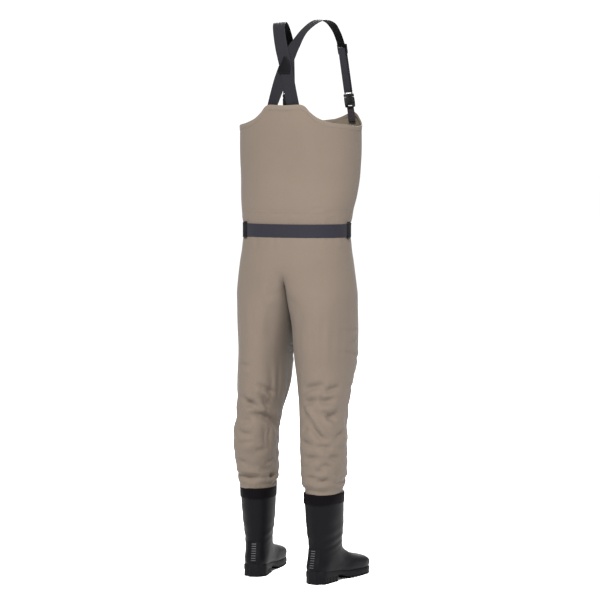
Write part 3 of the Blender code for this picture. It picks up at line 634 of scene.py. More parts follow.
def simulate(obj, rest, pins, frames, cap):
    """Settles the cloth: springs want the longer rest shape, so the legs buckle into folds."""
    obj.shape_key_add(name="Basis")
    key = obj.shape_key_add(name="cut")
    key.data.foreach_set("co", rest.astype(np.float32).ravel())
    key.value = 0.0
    group = obj.vertex_groups.new(name="pin")
    for level in np.unique(pins):
        if level > 0:
            group.add([int(i) for i in np.flatnonzero(pins == level)], float(level), "REPLACE")
    mod = obj.modifiers.new("cloth", "CLOTH")
    for name, value in CLOTH.items():
        setattr(mod.settings, name, value)
    mod.settings.rest_shape_key = key
    mod.settings.effector_weights.gravity = 0.35
    mod.collision_settings.use_self_collision = False
    mod.point_cache.frame_start = 1
    mod.point_cache.frame_end = frames + 1
    start = corners(obj.data)
    for number in range(1, frames + 1):
        bpy.context.scene.frame_set(number)
    move = corners(evaluated(obj).data) - start
    obj.modifiers.remove(mod)
    obj.shape_key_clear()
    obj.vertex_groups.clear()
    bpy.context.scene.frame_set(1)
    size = np.linalg.norm(move, axis=1, keepdims=True)
    return start + move * np.minimum(1.0, cap / np.maximum(size, 1e-9))


# pressed folds: degrees and height at the start, the same at the end, sag, strength
CREASES = {
    "left": (
        (192, 0.567, 243, 0.535, 0.0, 1.0), (147, 0.531, 216, 0.491, 0.0, 1.1),
        (198, 0.547, 234, 0.499, 0.0, 0.8), (183, 0.479, 276, 0.431, 0.016, 1.7),
        (150, 0.435, 204, 0.423, -0.006, 1.2), (204, 0.375, 240, 0.375, 0.0, 0.8),
        (138, 0.299, 222, 0.287, 0.0, 1.2), (246, 0.299, 267, 0.287, 0.0, 1.4),
        (141, 0.623, 180, 0.619, 0.0, 0.6), (210, 0.519, 252, 0.483, 0.0, 0.9),
        (150, 0.498, 196, 0.515, 0.0, 0.9), (160, 0.392, 205, 0.400, 0.004, 0.8),
        (214, 0.318, 250, 0.312, 0.0, 0.8), (146, 0.345, 186, 0.336, 0.0, 0.7),
        (160, 0.455, 200, 0.459, 0.004, 0.6), (230, 0.335, 262, 0.345, 0.0, 0.6),
    ),
    "right": (
        (198, 0.559, 150, 0.575, 0.0, 1.3), (165, 0.531, 126, 0.543, -0.010, 1.4),
        (207, 0.535, 141, 0.423, 0.0, -0.9), (183, 0.471, 138, 0.415, -0.010, 1.3),
        (156, 0.499, 114, 0.455, 0.0, 0.8), (168, 0.403, 132, 0.395, 0.0, 1.4),
        (204, 0.359, 165, 0.371, 0.0, 1.0), (162, 0.347, 132, 0.343, 0.0, 1.1),
        (201, 0.307, 159, 0.315, 0.0, 0.8), (186, 0.287, 141, 0.303, 0.005, 1.2),
        (126, 0.419, 90, 0.439, 0.0, 0.8), (204, 0.519, 165, 0.531, 0.0, 0.8),
        (160, 0.552, 118, 0.566, 0.0, 1.3), (146, 0.478, 112, 0.492, 0.0, 1.0),
        (140, 0.372, 112, 0.362, 0.0, 0.9), (176, 0.330, 150, 0.326, 0.0, 1.0),
        (130, 0.322, 104, 0.312, 0.0, 0.8), (214, 0.410, 178, 0.404, 0.0, 0.7),
        (210, 0.445, 180, 0.455, 0.0, 0.6),
    ),
}
WAIST_FOLDS = (
    (168.0, 181.0, 1.056, 1.060, 0.0011), (204.0, 222.0, 1.072, 1.074, 0.0011),
    (150.0, 163.0, 1.074, 1.070, 0.0008), (186.0, 199.0, 1.056, 1.055, 0.0007),
    (226.0, 240.0, 1.060, 1.066, 0.0009), (20.0, 40.0, 1.058, 1.064, 0.0010),
    (310.0, 330.0, 1.074, 1.070, 0.0010), (60.0, 84.0, 1.074, 1.078, 0.0009),
)


def leg_line(side, deg, z, turn, rise, sag=0.0, steps=12):
    return [leg(side, deg + turn * f, z + rise * f + sag * sin(pi * f)) for f in spread(0.0, 1.0, steps)]


def torso_line(deg, z, turn, rise, steps):
    return [torso(deg + turn * f, z + rise * f) for f in spread(0.0, 1.0, steps)]


def crease_paths():
    """Every pressed fold as (points, depth, width): behind the knees, round the shins, at belt and waist."""
    found = []
    for side, rows in CREASES.items():
        for a0, z0, a1, z1, sag, size in rows:
            line = leg_line(side, a0, z0, a1 - a0, z1 - z0, sag)
            found.append((line, 0.0064 * size, 0.0066 + 0.0026 * abs(size)))
    rng = np.random.default_rng(11)
    for side in SIDES:
        for _ in range(26):
            a0 = rng.uniform(-110.0, 90.0)
            z0 = rng.uniform(0.28, 0.60) if rng.random() < 0.8 else rng.uniform(0.60, 0.72)
            turn = rng.uniform(25.0, 70.0)
            rise = rng.uniform(-0.030, 0.030)
            line = leg_line(side, a0, z0, turn, rise, rng.uniform(-0.008, 0.008))
            found.append((line, rng.uniform(0.0010, 0.0026), rng.uniform(0.0050, 0.0075)))
    for start, stop, low, high, depth in WAIST_FOLDS:
        found.append((torso_line(start, low, stop - start, high - low, 8), depth, 0.0045))
    for _ in range(46):
        deg = rng.uniform(0.0, 360.0)
        below = rng.random() < 0.5
        z0 = Z_BELT - 0.018 if below else Z_BELT + 0.018
        z1 = z0 + (-1.0 if below else 0.55) * rng.uniform(0.018, 0.050)
        line = torso_line(deg, z0, rng.uniform(-3.0, 3.0), z1 - z0, 6)
        found.append((line, rng.uniform(0.0005, 0.0013), rng.uniform(0.0045, 0.0065)))
    seat = [Vector((x, 0.20, z)) for x, z in ((0.024, 0.905), (0.016, 0.880), (0.010, 0.850),
                                              (0.004, 0.820), (0.000, 0.790), (-0.002, 0.760))]
    found.append((seat, 0.0026, 0.0150))
    found.append((leg_line("left", 212.0, 0.80, 6.0, -0.12, steps=10), 0.0016, 0.0130))
    found.append((leg_line("right", 196.0, 0.80, 8.0, -0.10, steps=10), 0.0012, 0.0130))
    return found


def press_creases(mesh):
    """Presses narrow valleys with a soft ridge beside them into the fine cloth."""
    co, normals = corners(mesh), corners(mesh, "normal")
    tree = BVHTree.FromPolygons([Vector(c) for c in co], [tuple(p.vertices) for p in mesh.polygons])
    total = np.zeros(len(co))
    for line, depth, width in crease_paths():
        path = np.array([tuple(tree.find_nearest(p)[0]) for p in line])
        near = ((co > path.min(0) - 4.0 * width) & (co < path.max(0) + 4.0 * width)).all(1)
        near = np.flatnonzero(near)
        p, n = co[near], normals[near]
        best = np.full(len(near), np.inf)
        across = np.zeros(len(near))
        at = np.zeros(len(near))
        for k in range(len(path) - 1):
            ab = path[k + 1] - path[k]
            size = max(np.linalg.norm(ab), 1e-6)
            t = np.clip(((p - path[k]) @ ab) / size ** 2, 0.0, 1.0)
            off = p - path[k] - t[:, None] * ab
            dist = np.linalg.norm(off, axis=1)
            better = dist < best
            best = np.where(better, dist, best)
            across = np.where(better, (off * np.cross(ab / size, n)).sum(1), across)
            at = np.where(better, (k + t) / (len(path) - 1), at)
        beyond = np.maximum(best ** 2 - across ** 2, 0.0)
        d = across / width
        shape = 0.55 * hump(d, 2.0, 1.3) + 0.25 * hump(d, -2.1, 1.4) - np.exp(-d ** 2)
        taper = np.sin(pi * np.clip(at, 0.0, 1.0)) ** 0.7
        total[near] += depth * shape * taper * np.exp(-beyond / width ** 2)
    hold = np.interp(co[:, 2], [0.262, 0.285], [0.0, 1.0])
    place_corners(mesh, co + normals * (total * hold)[:, None])
    mesh.update()


def settle(obj, co, faces, parts):
    """Cloth simulation on a body cut too long, without the swelling it gives to each leg."""
    z = co[:, 2]
    zs = np.linspace(0.25, 1.4, 600)
    rate = np.interp(zs, [0.25, 0.30, 0.40, 0.55, 0.75, 0.90, 1.4], [0.13, 0.12, 0.09, 0.08, 0.03, 0.0, 0.0])
    extra = np.concatenate([[0.0], np.cumsum((rate[1:] + rate[:-1]) / 2 * np.diff(zs))])
    rest = co.copy()
    rest[:, 2] -= extra[-1] - np.interp(z, zs, extra)
    pins = np.zeros(len(co))
    for low, high, hold in ((0.80, 2.00, 0.50), (0.62, 0.80, 0.15), (0.45, 0.62, 0.05), (0.30, 0.45, 0.03)):
        pins[(z > low) & (z <= high)] = hold
    bib_front = (co[:, 1] < BODY_Y - 0.05) & (z > 1.10)
    pins[(np.abs(z - Z_BELT) < 0.026) | (z > 1.27) | bib_front | (z < 0.268)] = 1.0
    done = simulate(obj, rest, pins, 26, 0.011)
    normals = corners(obj.data, "normal")
    out = ((done - co) * normals).sum(1)
    for part in (1, 2):
        mask = parts == part
        level = ((z[mask] - 0.24) / 0.03).astype(int)
        mean = np.bincount(level, out[mask]) / np.maximum(np.bincount(level), 1)
        back = np.interp(z[mask], 0.24 + 0.03 * (np.arange(len(mean)) + 0.5), mean)
        done[mask] -= normals[mask] * (back * np.interp(z[mask], [0.262, 0.29], [0.0, 1.0]))[:, None]
    return relax(done, faces, np.where(pins < 1.0, 0.25, 0.0), 2)


def build_body():
    co, faces, parts = body_mesh()
    near_fork = np.clip(1.3 - np.abs(co[:, 2] - Z_CROTCH) / 0.13, 0.0, 1.0) * np.exp(-(co[:, 0] / 0.07) ** 2)
    co = relax(co, faces, near_fork * 0.6, 45)
    obj = clean(make("cloth_body", co, faces, "fabric"))
    co = co + corners(obj.data, "normal") * body_folds(co, parts)[:, None]
    place_corners(obj.data, co)
    place_corners(obj.data, settle(obj, co, faces, parts))
    obj.data.update()
    obj.modifiers.new("fine", "SUBSURF").levels = 1
    apply_modifiers(obj)
    press_creases(obj.data)
    return obj


def split_body(mesh):
    """The skin above the knees rides on the torso; below the knees each leg is a separate piece."""
    co, normals = corners(mesh), corners(mesh, "normal")
    polys = [tuple(p.vertices) for p in mesh.polygons]
    low = np.array([all(co[i][2] < Z_KNEE_TOP + 0.012 for i in p) for p in polys])
    left = np.array([co[p[0]][0] > 0 for p in polys])
    made = {}
    for name, mask in (("cloth_upper", ~low), ("left_cloth_leg", low & left),
                       ("right_cloth_leg", low & ~left)):
        chosen = [polys[i] for i in np.flatnonzero(mask)]
        used = sorted({v for p in chosen for v in p})
        index = {v: i for i, v in enumerate(used)}
        outer, facing = co[used], normals[used]
        skin = [tuple(index[v] for v in p) for p in chosen]
        back = [tuple(i + len(used) for i in f[::-1]) for f in skin]
        obj = make(name, np.vstack([outer, outer - 0.0008 * facing]), skin + back, "fabric")
        obj.data.materials.append(M["lining"])
        obj.data.polygons.foreach_set("material_index", [0] * len(skin) + [1] * len(back))
        obj.data.normals_split_custom_set_from_vertices(np.vstack([facing, -facing]).tolist())
        made[name] = obj
    return made


body = build_body()
SKIN = BVHTree.FromPolygons([v.co for v in body.data.vertices],
                            [tuple(p.vertices) for p in body.data.polygons])
cloth = split_body(body.data)
bpy.data.objects.remove(body)
finish_piece(cloth["cloth_upper"], "torso", "fabric", "front_bib", "back_bib", "front_waist_panel",
             "back_waist_panel", "left_leg_front", "left_leg_back", "right_leg_front", "right_leg_back")
for leg_side in SIDES:
    piece = cloth[leg_side + "_cloth_leg"]
    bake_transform(piece)
    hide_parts(leg_side + "_knee_section", leg_side + "_shin_fabric")


# ---------------------------------------------------------------- hem and seams
def skin_path(fn, count, closed=False):
    """Points and normals of the cloth nearest to a line."""
    out = [SKIN.find_nearest(fn(i / count))[:2] for i in range(count + (0 if closed else 1))]
    return out + out[:1] if closed else out


def seam_strip(name, path, height, closed=False):
    """A low raised strip of cloth following the skin."""
    width, sink = 0.005, 0.0003
    profile = ((-1.0, -0.6), (-0.92, 0.7), (-0.5, 1.0), (0.0, 0.8), (0.5, 1.0), (0.92, 0.7), (1.0, -0.6))
    rings = []
    n = len(path)
    for i, (p, normal) in enumerate(path):
        a = path[i - 1 if i else (n - 2 if closed else 0)][0]
        b = path[i + 1 if i < n - 1 else (1 if closed else n - 1)][0]
        side = (b - a).normalized().cross(normal).normalized()
        rings.append([p + side * (u * width / 2) + normal * (h * height - sink) for u, h in profile])
    obj = grid(name, rings, "fabric", True, not closed)
    finish_piece(clean(obj, True) if closed else obj, "torso", "seam")


def top_hem():
    count = 288
    profile = ((-0.0012, 0.0140), (-0.0016, 0.0080), (-0.0017, 0.0015), (-0.0012, -0.0002),
               (0.0000, -0.0008), (0.0008, -0.0001), (0.0010, 0.0015), (0.0008, 0.0060),
               (0.0005, 0.0095), (0.0004, 0.0115), (-0.0001, 0.0140), (-0.0006, 0.0158),
               (-0.0011, 0.0160), (-0.0006, 0.0030), (-0.0008, 0.0030), (-0.0008, 0.0136))
    rings, lines = [], ([], [])
    for i in range(count):
        deg = 360.0 * i / count
        z = top_edge(deg)
        here = torso(deg, z)
        tangent = (torso(deg + 0.5, z) - torso(deg - 0.5, z)).normalized()
        normal = Vector((tangent.y, -tangent.x, 0.0))
        wob = 0.0003 * noise.noise(Vector((here.x * 60, here.y * 60, 1.0)))
        rings.append([here + normal * (out + wob + 0.0004) - UP * down for out, down in profile])
        for line, down in zip(lines, (0.0085, 0.0118)):
            line.append((here + normal * (0.0008 + wob) - UP * down, normal))
    finish_piece(hoop("top_hem_band", rings, "hem"), "torso", "seam", "top_hem")
    for number, line in enumerate(lines):
        sew(f"hem_stitches_{number}", line + line[:1])


def seams():
    seam_strip("waist_seam", skin_path(lambda f: torso(360.0 * f, Z_WAIST), 300, True), 0.0002, True)
    for number, dz in enumerate((-0.0045, 0.0045)):
        sew(f"waist_stitches_{number}", skin_path(lambda f: torso(360.0 * f, Z_WAIST + dz), 300, True))
    thigh_low = Z_KNEE_TOP + 0.012
    for side, at in (("left", 90.0), ("right", 270.0)):
        line = skin_path(lambda f: torso(at, Z_HIP + (top_edge(at) - 0.021 - Z_HIP) * f), 90)
        thigh = skin_path(lambda f: leg(side, 90.0, 0.80 + (thigh_low - 0.80) * f), 50)
        lower = [p for p in line if p[0].z < Z_BELT - 0.030]
        seam_strip(side + "_side_seam", [p for p in line if p[0].z > Z_BELT + 0.030], 0.0004)
        seam_strip(side + "_hip_seam", lower[::-1] + thigh, 0.0004)


top_hem()
seams()


# ---------------------------------------------------------------- boots
BOOT_ROWS = [(float(i),) + row for i, row in enumerate(BOOT)]
HEEL_RIB_LOW = 0.0490
HEEL_RIB_STEP = 0.0067


def foot_frame(side):
    cx, cy = table(LEG[side], 0.26)[:2]
    turn = Matrix.Rotation(SIDE[side] * SPLAY, 4, "Z")
    return Matrix.Translation((SIDE[side] * cx, BODY_Y + cy, 0.0)) @ turn


def boot_ring(f, inset, count):
    fy, fz, by, bz, hw = table(BOOT_ROWS, f * (len(BOOT) - 1))
    front, back = Vector((0.0, fy, fz)), Vector((0.0, by, bz))
    mid, reach = (front + back) / 2.0, (front - back) / 2.0
    size = reach.length
    along = reach / size
    low = ease((f - 0.35) / 0.2)
    ring = []
    for k in range(count):
        c, s = cos(2.0 * pi * k / count), sin(2.0 * pi * k / count)
        e = 2.0 / (2.1 + (0.5 + (1.4 if c < 0 else 0.0)) * low)
        side = Vector((signed_power(s, e) * (hw - inset), 0.0, 0.0))
        ring.append(mid + along * (signed_power(c, e) * (size - inset)) + side)
    return ring


def boot_upper(side):
    """Shell with soft creases over the instep and ankle, a line round the toe and a rolled lip."""
    count, rows, s = 72, 110, SIDE[side]
    rings = []
    for f in spread(0.0, 1.0, rows):
        ring = boot_ring(f, 0.0, count)
        mid = sum(ring, Vector()) / count
        for k, p in enumerate(ring):
            t = 2.0 * pi * k / count
            instep = hump(f, 0.27, 0.055) * max(0.0, cos(t)) ** 1.5
            move = 0.0009 * instep * sin(f * 170.0 + 2.5 * sin(2 * t) + 3.0 * f * s)
            ankle = hump(f, 0.22, 0.09) * abs(sin(t))
            move += 0.0010 * ankle * sin(f * 95.0 + 3.0 * cos(t) + s)
            move += 0.0010 * noise.noise(Vector((p.x * 22, p.y * 22, p.z * 16 + s * 5)))
            move -= 0.0007 * hump(f, 0.66, 0.008) * max(0.0, cos(t) + 0.4)
            ring[k] = p + (p - mid).normalized() * move
        rings.append(ring)
    inner = [boot_ring(i / rows, 0.003, count) for i in range(0, rows - 16, 3)]
    lip = [p + UP * 0.0012 for p in boot_ring(0.0, 0.0015, count)]
    obj = grid(side + "_boot_shell", inner[::-1] + [lip] + rings, "boot", True, True, foot_frame(side))
    finish_piece(obj, side + "_lower_leg", "boot", side + "_boot_upper")


def outsole(side):
    """Sole with a notched welt, cleated forefoot and a stacked heel block."""
    rings = []
    for y in spread(-0.2068, 0.0640, 186):
        w = max(table(SOLE_W, y)[0], 0.004)
        top = table(SOLE_TOP, y)[0] + 0.0035
        shank = -0.078 < y <= -0.019
        notch = 1.0 - (0.5 + 0.5 * np.tanh(5.0 * cos(2 * pi * y / 0.0155)))
        low = 0.0055 + 0.0110 * ease((y + 0.085) / 0.055) if shank else 0.0035 * notch
        mid = max(top - (0.012 if y > -0.019 else 0.0075), low + 0.0025)
        g = 0.0 if shank else 0.0030
        half = [(u * w, low + dz) for u, dz in ((0.03, g), (0.06, 0.0), (0.45, 0.0), (0.48, g), (0.52, g),
                                                (0.55, 0.0))]
        for u, z in ((0.95, low), (0.985, low + 0.0012), (0.965, mid - 0.0008), (0.965, mid),
                     (1.0, mid + 0.0008), (1.0, top + 0.0006), (0.95, top + 0.0048), (0.84, top + 0.0085)):
            half.append((u * (w + 0.0004 - (0.0012 * notch if z < mid else 0.0)), z))
        rings.append([Vector((x, y, z)) for x, z in mirrored(half)])
    obj = grid(side + "_cleated_sole", rings, "sole", True, True, foot_frame(side))
    obj.data.set_sharp_from_angle(angle=radians(38))
    finish_piece(obj, side + "_lower_leg", "sole", side + "_outsole", side + "_tread_lugs")


def heel_pad(side):
    """Counter behind the heel with eight narrow ribs up its middle, their back-facing crests given a pale
    painted highlight.
    """
    rows = sorted((row[3], row[2]) for row in BOOT[:6])
    rings = []
    for z in spread(0.0420, 0.1015, 150):
        back = table(rows, z)[0]
        rib = 0.5 + 0.5 * np.tanh(2.6 * cos(2 * pi * (z - HEEL_RIB_LOW) / HEEL_RIB_STEP))
        rib *= 0.045 < z < 0.0990
        swell = sin(pi * (z - 0.0420) / 0.0595)
        outer, inside = [], []
        for deg in spread(-36.0, 36.0, 36):
            t = radians(deg)
            edge = ease((36.0 - abs(deg)) / 16.0)
            r = 0.0360 + 0.0002 + 0.0006 * edge * swell + 0.0013 * rib * ease((13.0 - abs(deg)) / 4.0)
            for ring, size in ((outer, r), (inside, 0.0352)):
                ring.append(Vector((sin(t) * size, back - 0.036 + cos(t) * size, z)))
        rings.append(outer + inside[::-1])
    obj = grid(side + "_heel_rib_pad", rings, "boot", True, True, foot_frame(side))
    # painted highlight: rib crest faces that face back, towards the lamps, take the pale colour
    obj.data.materials.append(M["rib"])
    for p in obj.data.polygons:
        turn = (p.center.z - HEEL_RIB_LOW) / HEEL_RIB_STEP
        lit_crest = abs(turn - round(turn)) < 0.16 and 0.045 < p.center.z < 0.0990
        if lit_crest and abs(p.center.x) < 0.0062 and p.normal.y > 0.5:
            p.material_index = 1
    finish_piece(obj, side + "_lower_leg", "boot", side + "_heel_ribs")


def cuff(side):
    count = 120
    profile = ((0.0002, -0.0275), (0.0014, -0.0282), (0.0020, -0.0270), (0.0021, -0.0160),
               (0.0022, -0.0040), (0.0020, 0.0012), (0.0012, 0.0022), (0.0003, 0.0012))
    rings = []
    for k in range(count):
        t = 2.0 * pi * k / count
        ring = []
        for out, dz in profile:
            f = -dz / 0.053
            wob = 0.0006 * noise.noise(Vector((cos(t) * 4, sin(t) * 4, dz * 60 + SIDE[side])))
            x, y = oval(t, 0.0512 - 0.002 * f + out + wob, 0.0682 + 0.001 * f + out + wob, 2.1)
            ring.append(Vector((x, y, Z_BOOT + dz)))
        rings.append(ring)
    obj = hoop(side + "_cuff_cloth", rings, "cuff", foot_frame(side))
    finish_piece(obj, side + "_lower_leg", "cuff", side + "_cuff_band")


for leg_side in SIDES:
    boot_upper(leg_side)
    outsole(leg_side)
    heel_pad(leg_side)
    cuff(leg_side)
    keep_cad(leg_side + "_insole", "foam")


# ---------------------------------------------------------------- moulded plates
def cut_box(obj, half, y0, y1, z0, z1):
    """Cuts a box through a piece, as wide to both sides of its middle."""
    points = [(x, y, z) for z in (z0, z1) for y in (y0, y1) for x in (-half, half)]
    mesh = bpy.data.meshes.new("cutter")
    mesh.from_pydata(points, [], [(0, 2, 3, 1), (4, 5, 7, 6), (0, 1, 5, 4), (2, 6, 7, 3), (0, 4, 6, 2),
                                  (1, 3, 7, 5)])
    tool = add_object("cutter", mesh)
    mod = obj.modifiers.new("cut", "BOOLEAN")
    mod.operation = "DIFFERENCE"
    mod.solver = "EXACT"
    mod.object = tool
    freeze(obj)
    bpy.data.objects.remove(tool)


def plate(name, outline, y0, y1, material, place, width, holes=()):
    """A moulded plate from an outline in local X and Z, with slots cut through and soft edges."""
    count = len(outline)
    points = [(x, y, z) for y in (y0, y1) for x, z in outline]
    faces = [tuple(range(count)), tuple(range(count, 2 * count))[::-1]]
    faces += [(i, (i + 1) % count, (i + 1) % count + count, i + count) for i in range(count)]
    obj = clean(make(name, points, faces, material))
    for hole in holes:
        cut_box(obj, *hole)
    mod = obj.modifiers.new("edge", "BEVEL")
    mod.width = width
    mod.segments = 2
    mod.limit_method = "ANGLE"
    mod.angle_limit = radians(35.0)
    mod.harden_normals = False
    freeze(obj)
    obj.matrix_world = place
    return obj


def buckle(label, place, male_body, prongs):
    """Side-release buckle: hollow socket, clip with two webbing bars, tongue and the frame's prongs."""
    w, t = BUCKLE_W / 2.0, BUCKLE_T / 2.0
    half = [(w - 0.0030, -0.0300), (w - 0.0012, -0.0285), (w - 0.0006, -0.0235), (w, -0.0200),
            (w, -0.0060), (w - 0.0010, -0.0010), (w - 0.0022, 0.0)]
    holes = [(w - 0.0022, -t + 0.0018, t - 0.0018, -0.0215, 0.01),
             (w + 0.01, -t + 0.0018, t - 0.0018, -0.0190, -0.0085),
             (w - 0.004, -0.02, 0.02, -0.0270, -0.0240), (0.0065, -t - 0.01, -t + 0.0008, -0.0150, -0.0050)]
    obj = plate(label + "_buckle_socket", mirrored(half), -t, t, "plastic", place, 0.0005, holes)
    finish_piece(obj, "torso", "plastic", label + "_buckle_female")
    half = [(w - 0.0010, 0.0006), (w, 0.0016), (w, 0.0080), (w - 0.0015, 0.0105), (w - 0.0015, 0.0245),
            (w - 0.0035, 0.0265)]
    holes = [(w + 0.01, -0.02, -0.0016, 0.0088, 0.04), (w + 0.01, 0.0016, 0.02, 0.0088, 0.04),
             (w - 0.004, -0.02, 0.02, 0.0100, 0.0155), (w - 0.004, -0.02, 0.02, 0.0187, 0.0235)]
    obj = plate(label + "_buckle_clip", mirrored(half), -t, t, "plastic", place, 0.0005, holes)
    finish_piece(obj, male_body, "plastic", label + "_buckle_male")
    half = [(0.0025, -0.0195), (0.004, -0.0180), (0.004, 0.0030)]
    obj = plate(label + "_buckle_tongue", mirrored(half), -0.0022, 0.0022, "plastic", place, 0.0004)
    finish_piece(obj, male_body, "plastic")
    for name in prongs:
        keep_cad(name, "plastic")


# ---------------------------------------------------------------- straps
STRAP_SIDE = 2 * (36 + 1)    # points round the section of a shoulder strap
BAR_Z = 0.0171    # the clip's webbing bar above the buckle's middle


def strap_frame(side):
    low, high = Vector(BUCKLE[side]), Vector(GLIDE[side])
    up = (high - low).normalized()
    across = TAB_ACROSS[side] - up * TAB_ACROSS[side].dot(up)
    across = across.normalized()
    turn = Matrix((across, up.cross(across), up)).transposed().to_4x4()
    return Matrix.Translation(low + SHIFT) @ turn


def shoulder_strap(side):
    """Elastic from the back hem over the shoulder to its slider, with painted shade (a near-black colour) on
    its inner face.
    """
    frames = []
    for f in spread(0.0, 1.0, 170):
        p, across = curve_at(ROUTE[side], f)
        frames.append((p + SHIFT, across))
    end = frames[-1][0]
    frames += [(end.lerp(Vector(GLIDE[side]) + SHIFT, f), TAB_ACROSS[side]) for f in (0.2, 0.4, 0.6)]
    obj = sweep(side + "_elastic_strap", frames, "elastic", WEB_W, 0.0022, 9, 0.0004)
    # painted shade: faces turned in towards the body take the near-black colour
    obj.data.materials.append(M["painted_shade_web"])
    for p in obj.data.polygons:
        out = frames[min(p.vertices) // STRAP_SIDE][0] - Vector((0.0, BODY_Y - 0.01, 1.50))
        p.material_index = 1 if p.normal.dot(out) < 0.0 else 0
    finish_piece(obj, "torso", "elastic", side + "_shoulder_strap")


def strap_loop(side, place, reach):
    """Doubled webbing between the buckle's bar and the slider."""
    ring = []
    for centre, start in ((reach + 0.0012, 0.0), (BAR_Z, pi)):
        for k in range(13):
            t = start + pi * k / 12.0
            ring.append((cos(t) * 0.0034, centre + 0.0034 * sin(t)))
    path = []
    for (y, z), (y1, z1) in zip(ring, ring[1:] + ring[:1]):
        steps = 24 if abs(z1 - z) > 0.03 else 1
        for k in range(steps):
            path.append(Vector((0.0, y + (y1 - y) * k / steps, z + (z1 - z) * k / steps)))
    turn = place.to_3x3()
    frames = [(place @ p, turn @ Vector((1.0, 0.0, 0.0))) for p in path]
    obj = sweep(side + "_strap_webbing", frames, "webbing", WEB_W - 0.005, 0.0017, 7, 0.0002, 30, True)
    finish_piece(obj, "torso", "webbing", side + "_strap_loop")
    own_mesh(obj)


def ladder_slider(side, place):
    w = BUCKLE_W / 2.0 + 0.003
    half = [(w - 0.002, -0.014), (w, -0.012), (w + 0.0004, 0.010), (w + 0.0010, 0.0145), (w - 0.002, 0.0145)]
    holes = [(w - 0.003, -0.02, 0.02, -0.0105, -0.0022), (w - 0.003, -0.02, 0.02, 0.0022, 0.0056)]
    obj = plate(side + "_slider_frame", mirrored(half), -0.0016, 0.0016, "plastic", place, 0.0006, holes)
    finish_piece(obj, side + "_slider", "plastic", side + "_ladder_slider")


def strap_tab(side, place):
    """Webbing from the socket's bar down to the bib, sewn on with a crossed box."""
    up = place.to_3x3() @ UP
    bar = place @ Vector((0.0, 0.0, -0.0325))
    end = Vector(TAB_END[side]) + SHIFT
    lead = bar - up * 0.008
    top = place @ Vector((0.0, 0.0, -0.0262))
    route = [(p, TAB_ACROSS[side]) for p in (top, bar, lead, lead.lerp(end, 0.5), end)]
    frames = [curve_at(route, f) for f in spread(0.0, 1.0, 40)]
    obj = sweep(side + "_front_tab", frames, "tab", WEB_W - 0.004, 0.0022, 7, 0.0002, 30)
    finish_piece(obj, "torso", "webbing", side + "_strap_tab")
    across = TAB_ACROSS[side].normalized()
    along = (end - lead).normalized()
    normal = across.cross(along).normalized()
    if normal.y < 0:
        normal = -normal
    box = [end + across * x - along * back + normal * 0.0013
           for x, back in ((-0.0130, 0.0045), (0.0130, 0.0045), (0.0130, 0.026), (-0.0130, 0.026))]
    path = [(box[i], normal) for i in (0, 1, 2, 3, 0, 2)]
    sew(side + "_tab_stitches", path, "webbing", "dark_thread", 0.0020, 0.0010)


PATCH = ((0.0040, 0.0250), (-0.0035, 0.0250), (-0.0140, 0.0100), (-0.0180, -0.0020), (-0.0150, -0.0240),
         (0.0140, -0.0240), (0.0215, -0.0165), (0.0225, -0.0120), (0.0165, -0.0020), (0.0080, 0.0130))


def crossover():
    """Vinyl patches on both sides of the crossed straps, the outer one sewn round."""
    for layer, y, size in (("outer", 0.0894, 1.0), ("inner", 0.0804, 0.8)):
        outline = [(x * size, z * size) for x, z in PATCH]
        place = Matrix.Translation((0.0, y + BODY_Y, Z_PATCH))
        obj = plate(layer + "_patch", outline, 0.0, 0.0016, "patch", place, 0.0005)
        finish_piece(obj, "torso", "plastic", "crossover_patch_" + layer)
    y = 0.0894 + 0.0016 + BODY_Y
    line = [(Vector((x * 0.86, y, Z_PATCH + z * 0.86)), Vector((0, 1, 0))) for x, z in PATCH + PATCH[:1]]
    sew("patch_stitches", line, "plastic", "dark_thread", 0.0020, 0.0010)


for leg_side in SIDES:
    shoulder_strap(leg_side)
    place = strap_frame(leg_side)
    reach = (Vector(GLIDE[leg_side]) - Vector(BUCKLE[leg_side])).length
    strap_loop(leg_side, place, reach)
    buckle(leg_side + "_strap", place, leg_side + "_strap_male",
           [leg_side + "_strap_buckle_prong_a", leg_side + "_strap_buckle_prong_b"])
    ladder_slider(leg_side, place @ Matrix.Translation((0.0, 0.0, reach)))
    strap_tab(leg_side, place)
crossover()


# ---------------------------------------------------------------- belt
def belt_path(a, b, count, out):
    return [(torso(deg, Z_BELT, out), UP) for deg in spread(a, b, count)]


def belt():
    """Belt round the waist, its short front section and its tail beside the buckle."""
    y = torso(0.0, Z_BELT).y - 0.0115
    around = belt_path(40.0, 344.0, 240, 0.0030)
    last, bar = around[-1][0], Vector((-0.0255, y, Z_BELT))
    around += [(last.lerp(bar, f), UP) for f in (0.3, 0.6, 0.85, 1.0)]
    obj = sweep("wading_belt", around, "webbing", WEB_W, 0.0020, 13, 0.00016, 52)
    finish_piece(obj, "torso", "webbing", "belt_webbing")
    start = Vector((BAR_Z, y - 0.0028, Z_BELT))
    target = belt_path(24.0, 46.0, 24, 0.0034)
    first = [(start, UP)] + [(start.lerp(target[0][0], f), UP) for f in (0.25, 0.5, 0.75)]
    obj = sweep("belt_front_section", first + target, "webbing", WEB_W - 0.004, 0.0018, 13, 0.00016, 52)
    finish_piece(obj, "torso", "webbing", "belt_end")
    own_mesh(obj)
    tail = belt_path(38.0, 62.0, 40, 0.0062)
    obj = sweep("belt_tail_end", tail, "webbing", WEB_W - 0.001, 0.0018, 13, 0.00016, 52)
    finish_piece(obj, "torso", "webbing", "belt_tail")
    turn = Matrix(((0.0, 0.0, 1.0), (0.0, 1.0, 0.0), (-1.0, 0.0, 0.0))).to_4x4()
    buckle("belt", Matrix.Translation((0.0, y, Z_BELT)) @ turn, "belt_male",
           ["belt_buckle_prong_a", "belt_buckle_prong_b"])


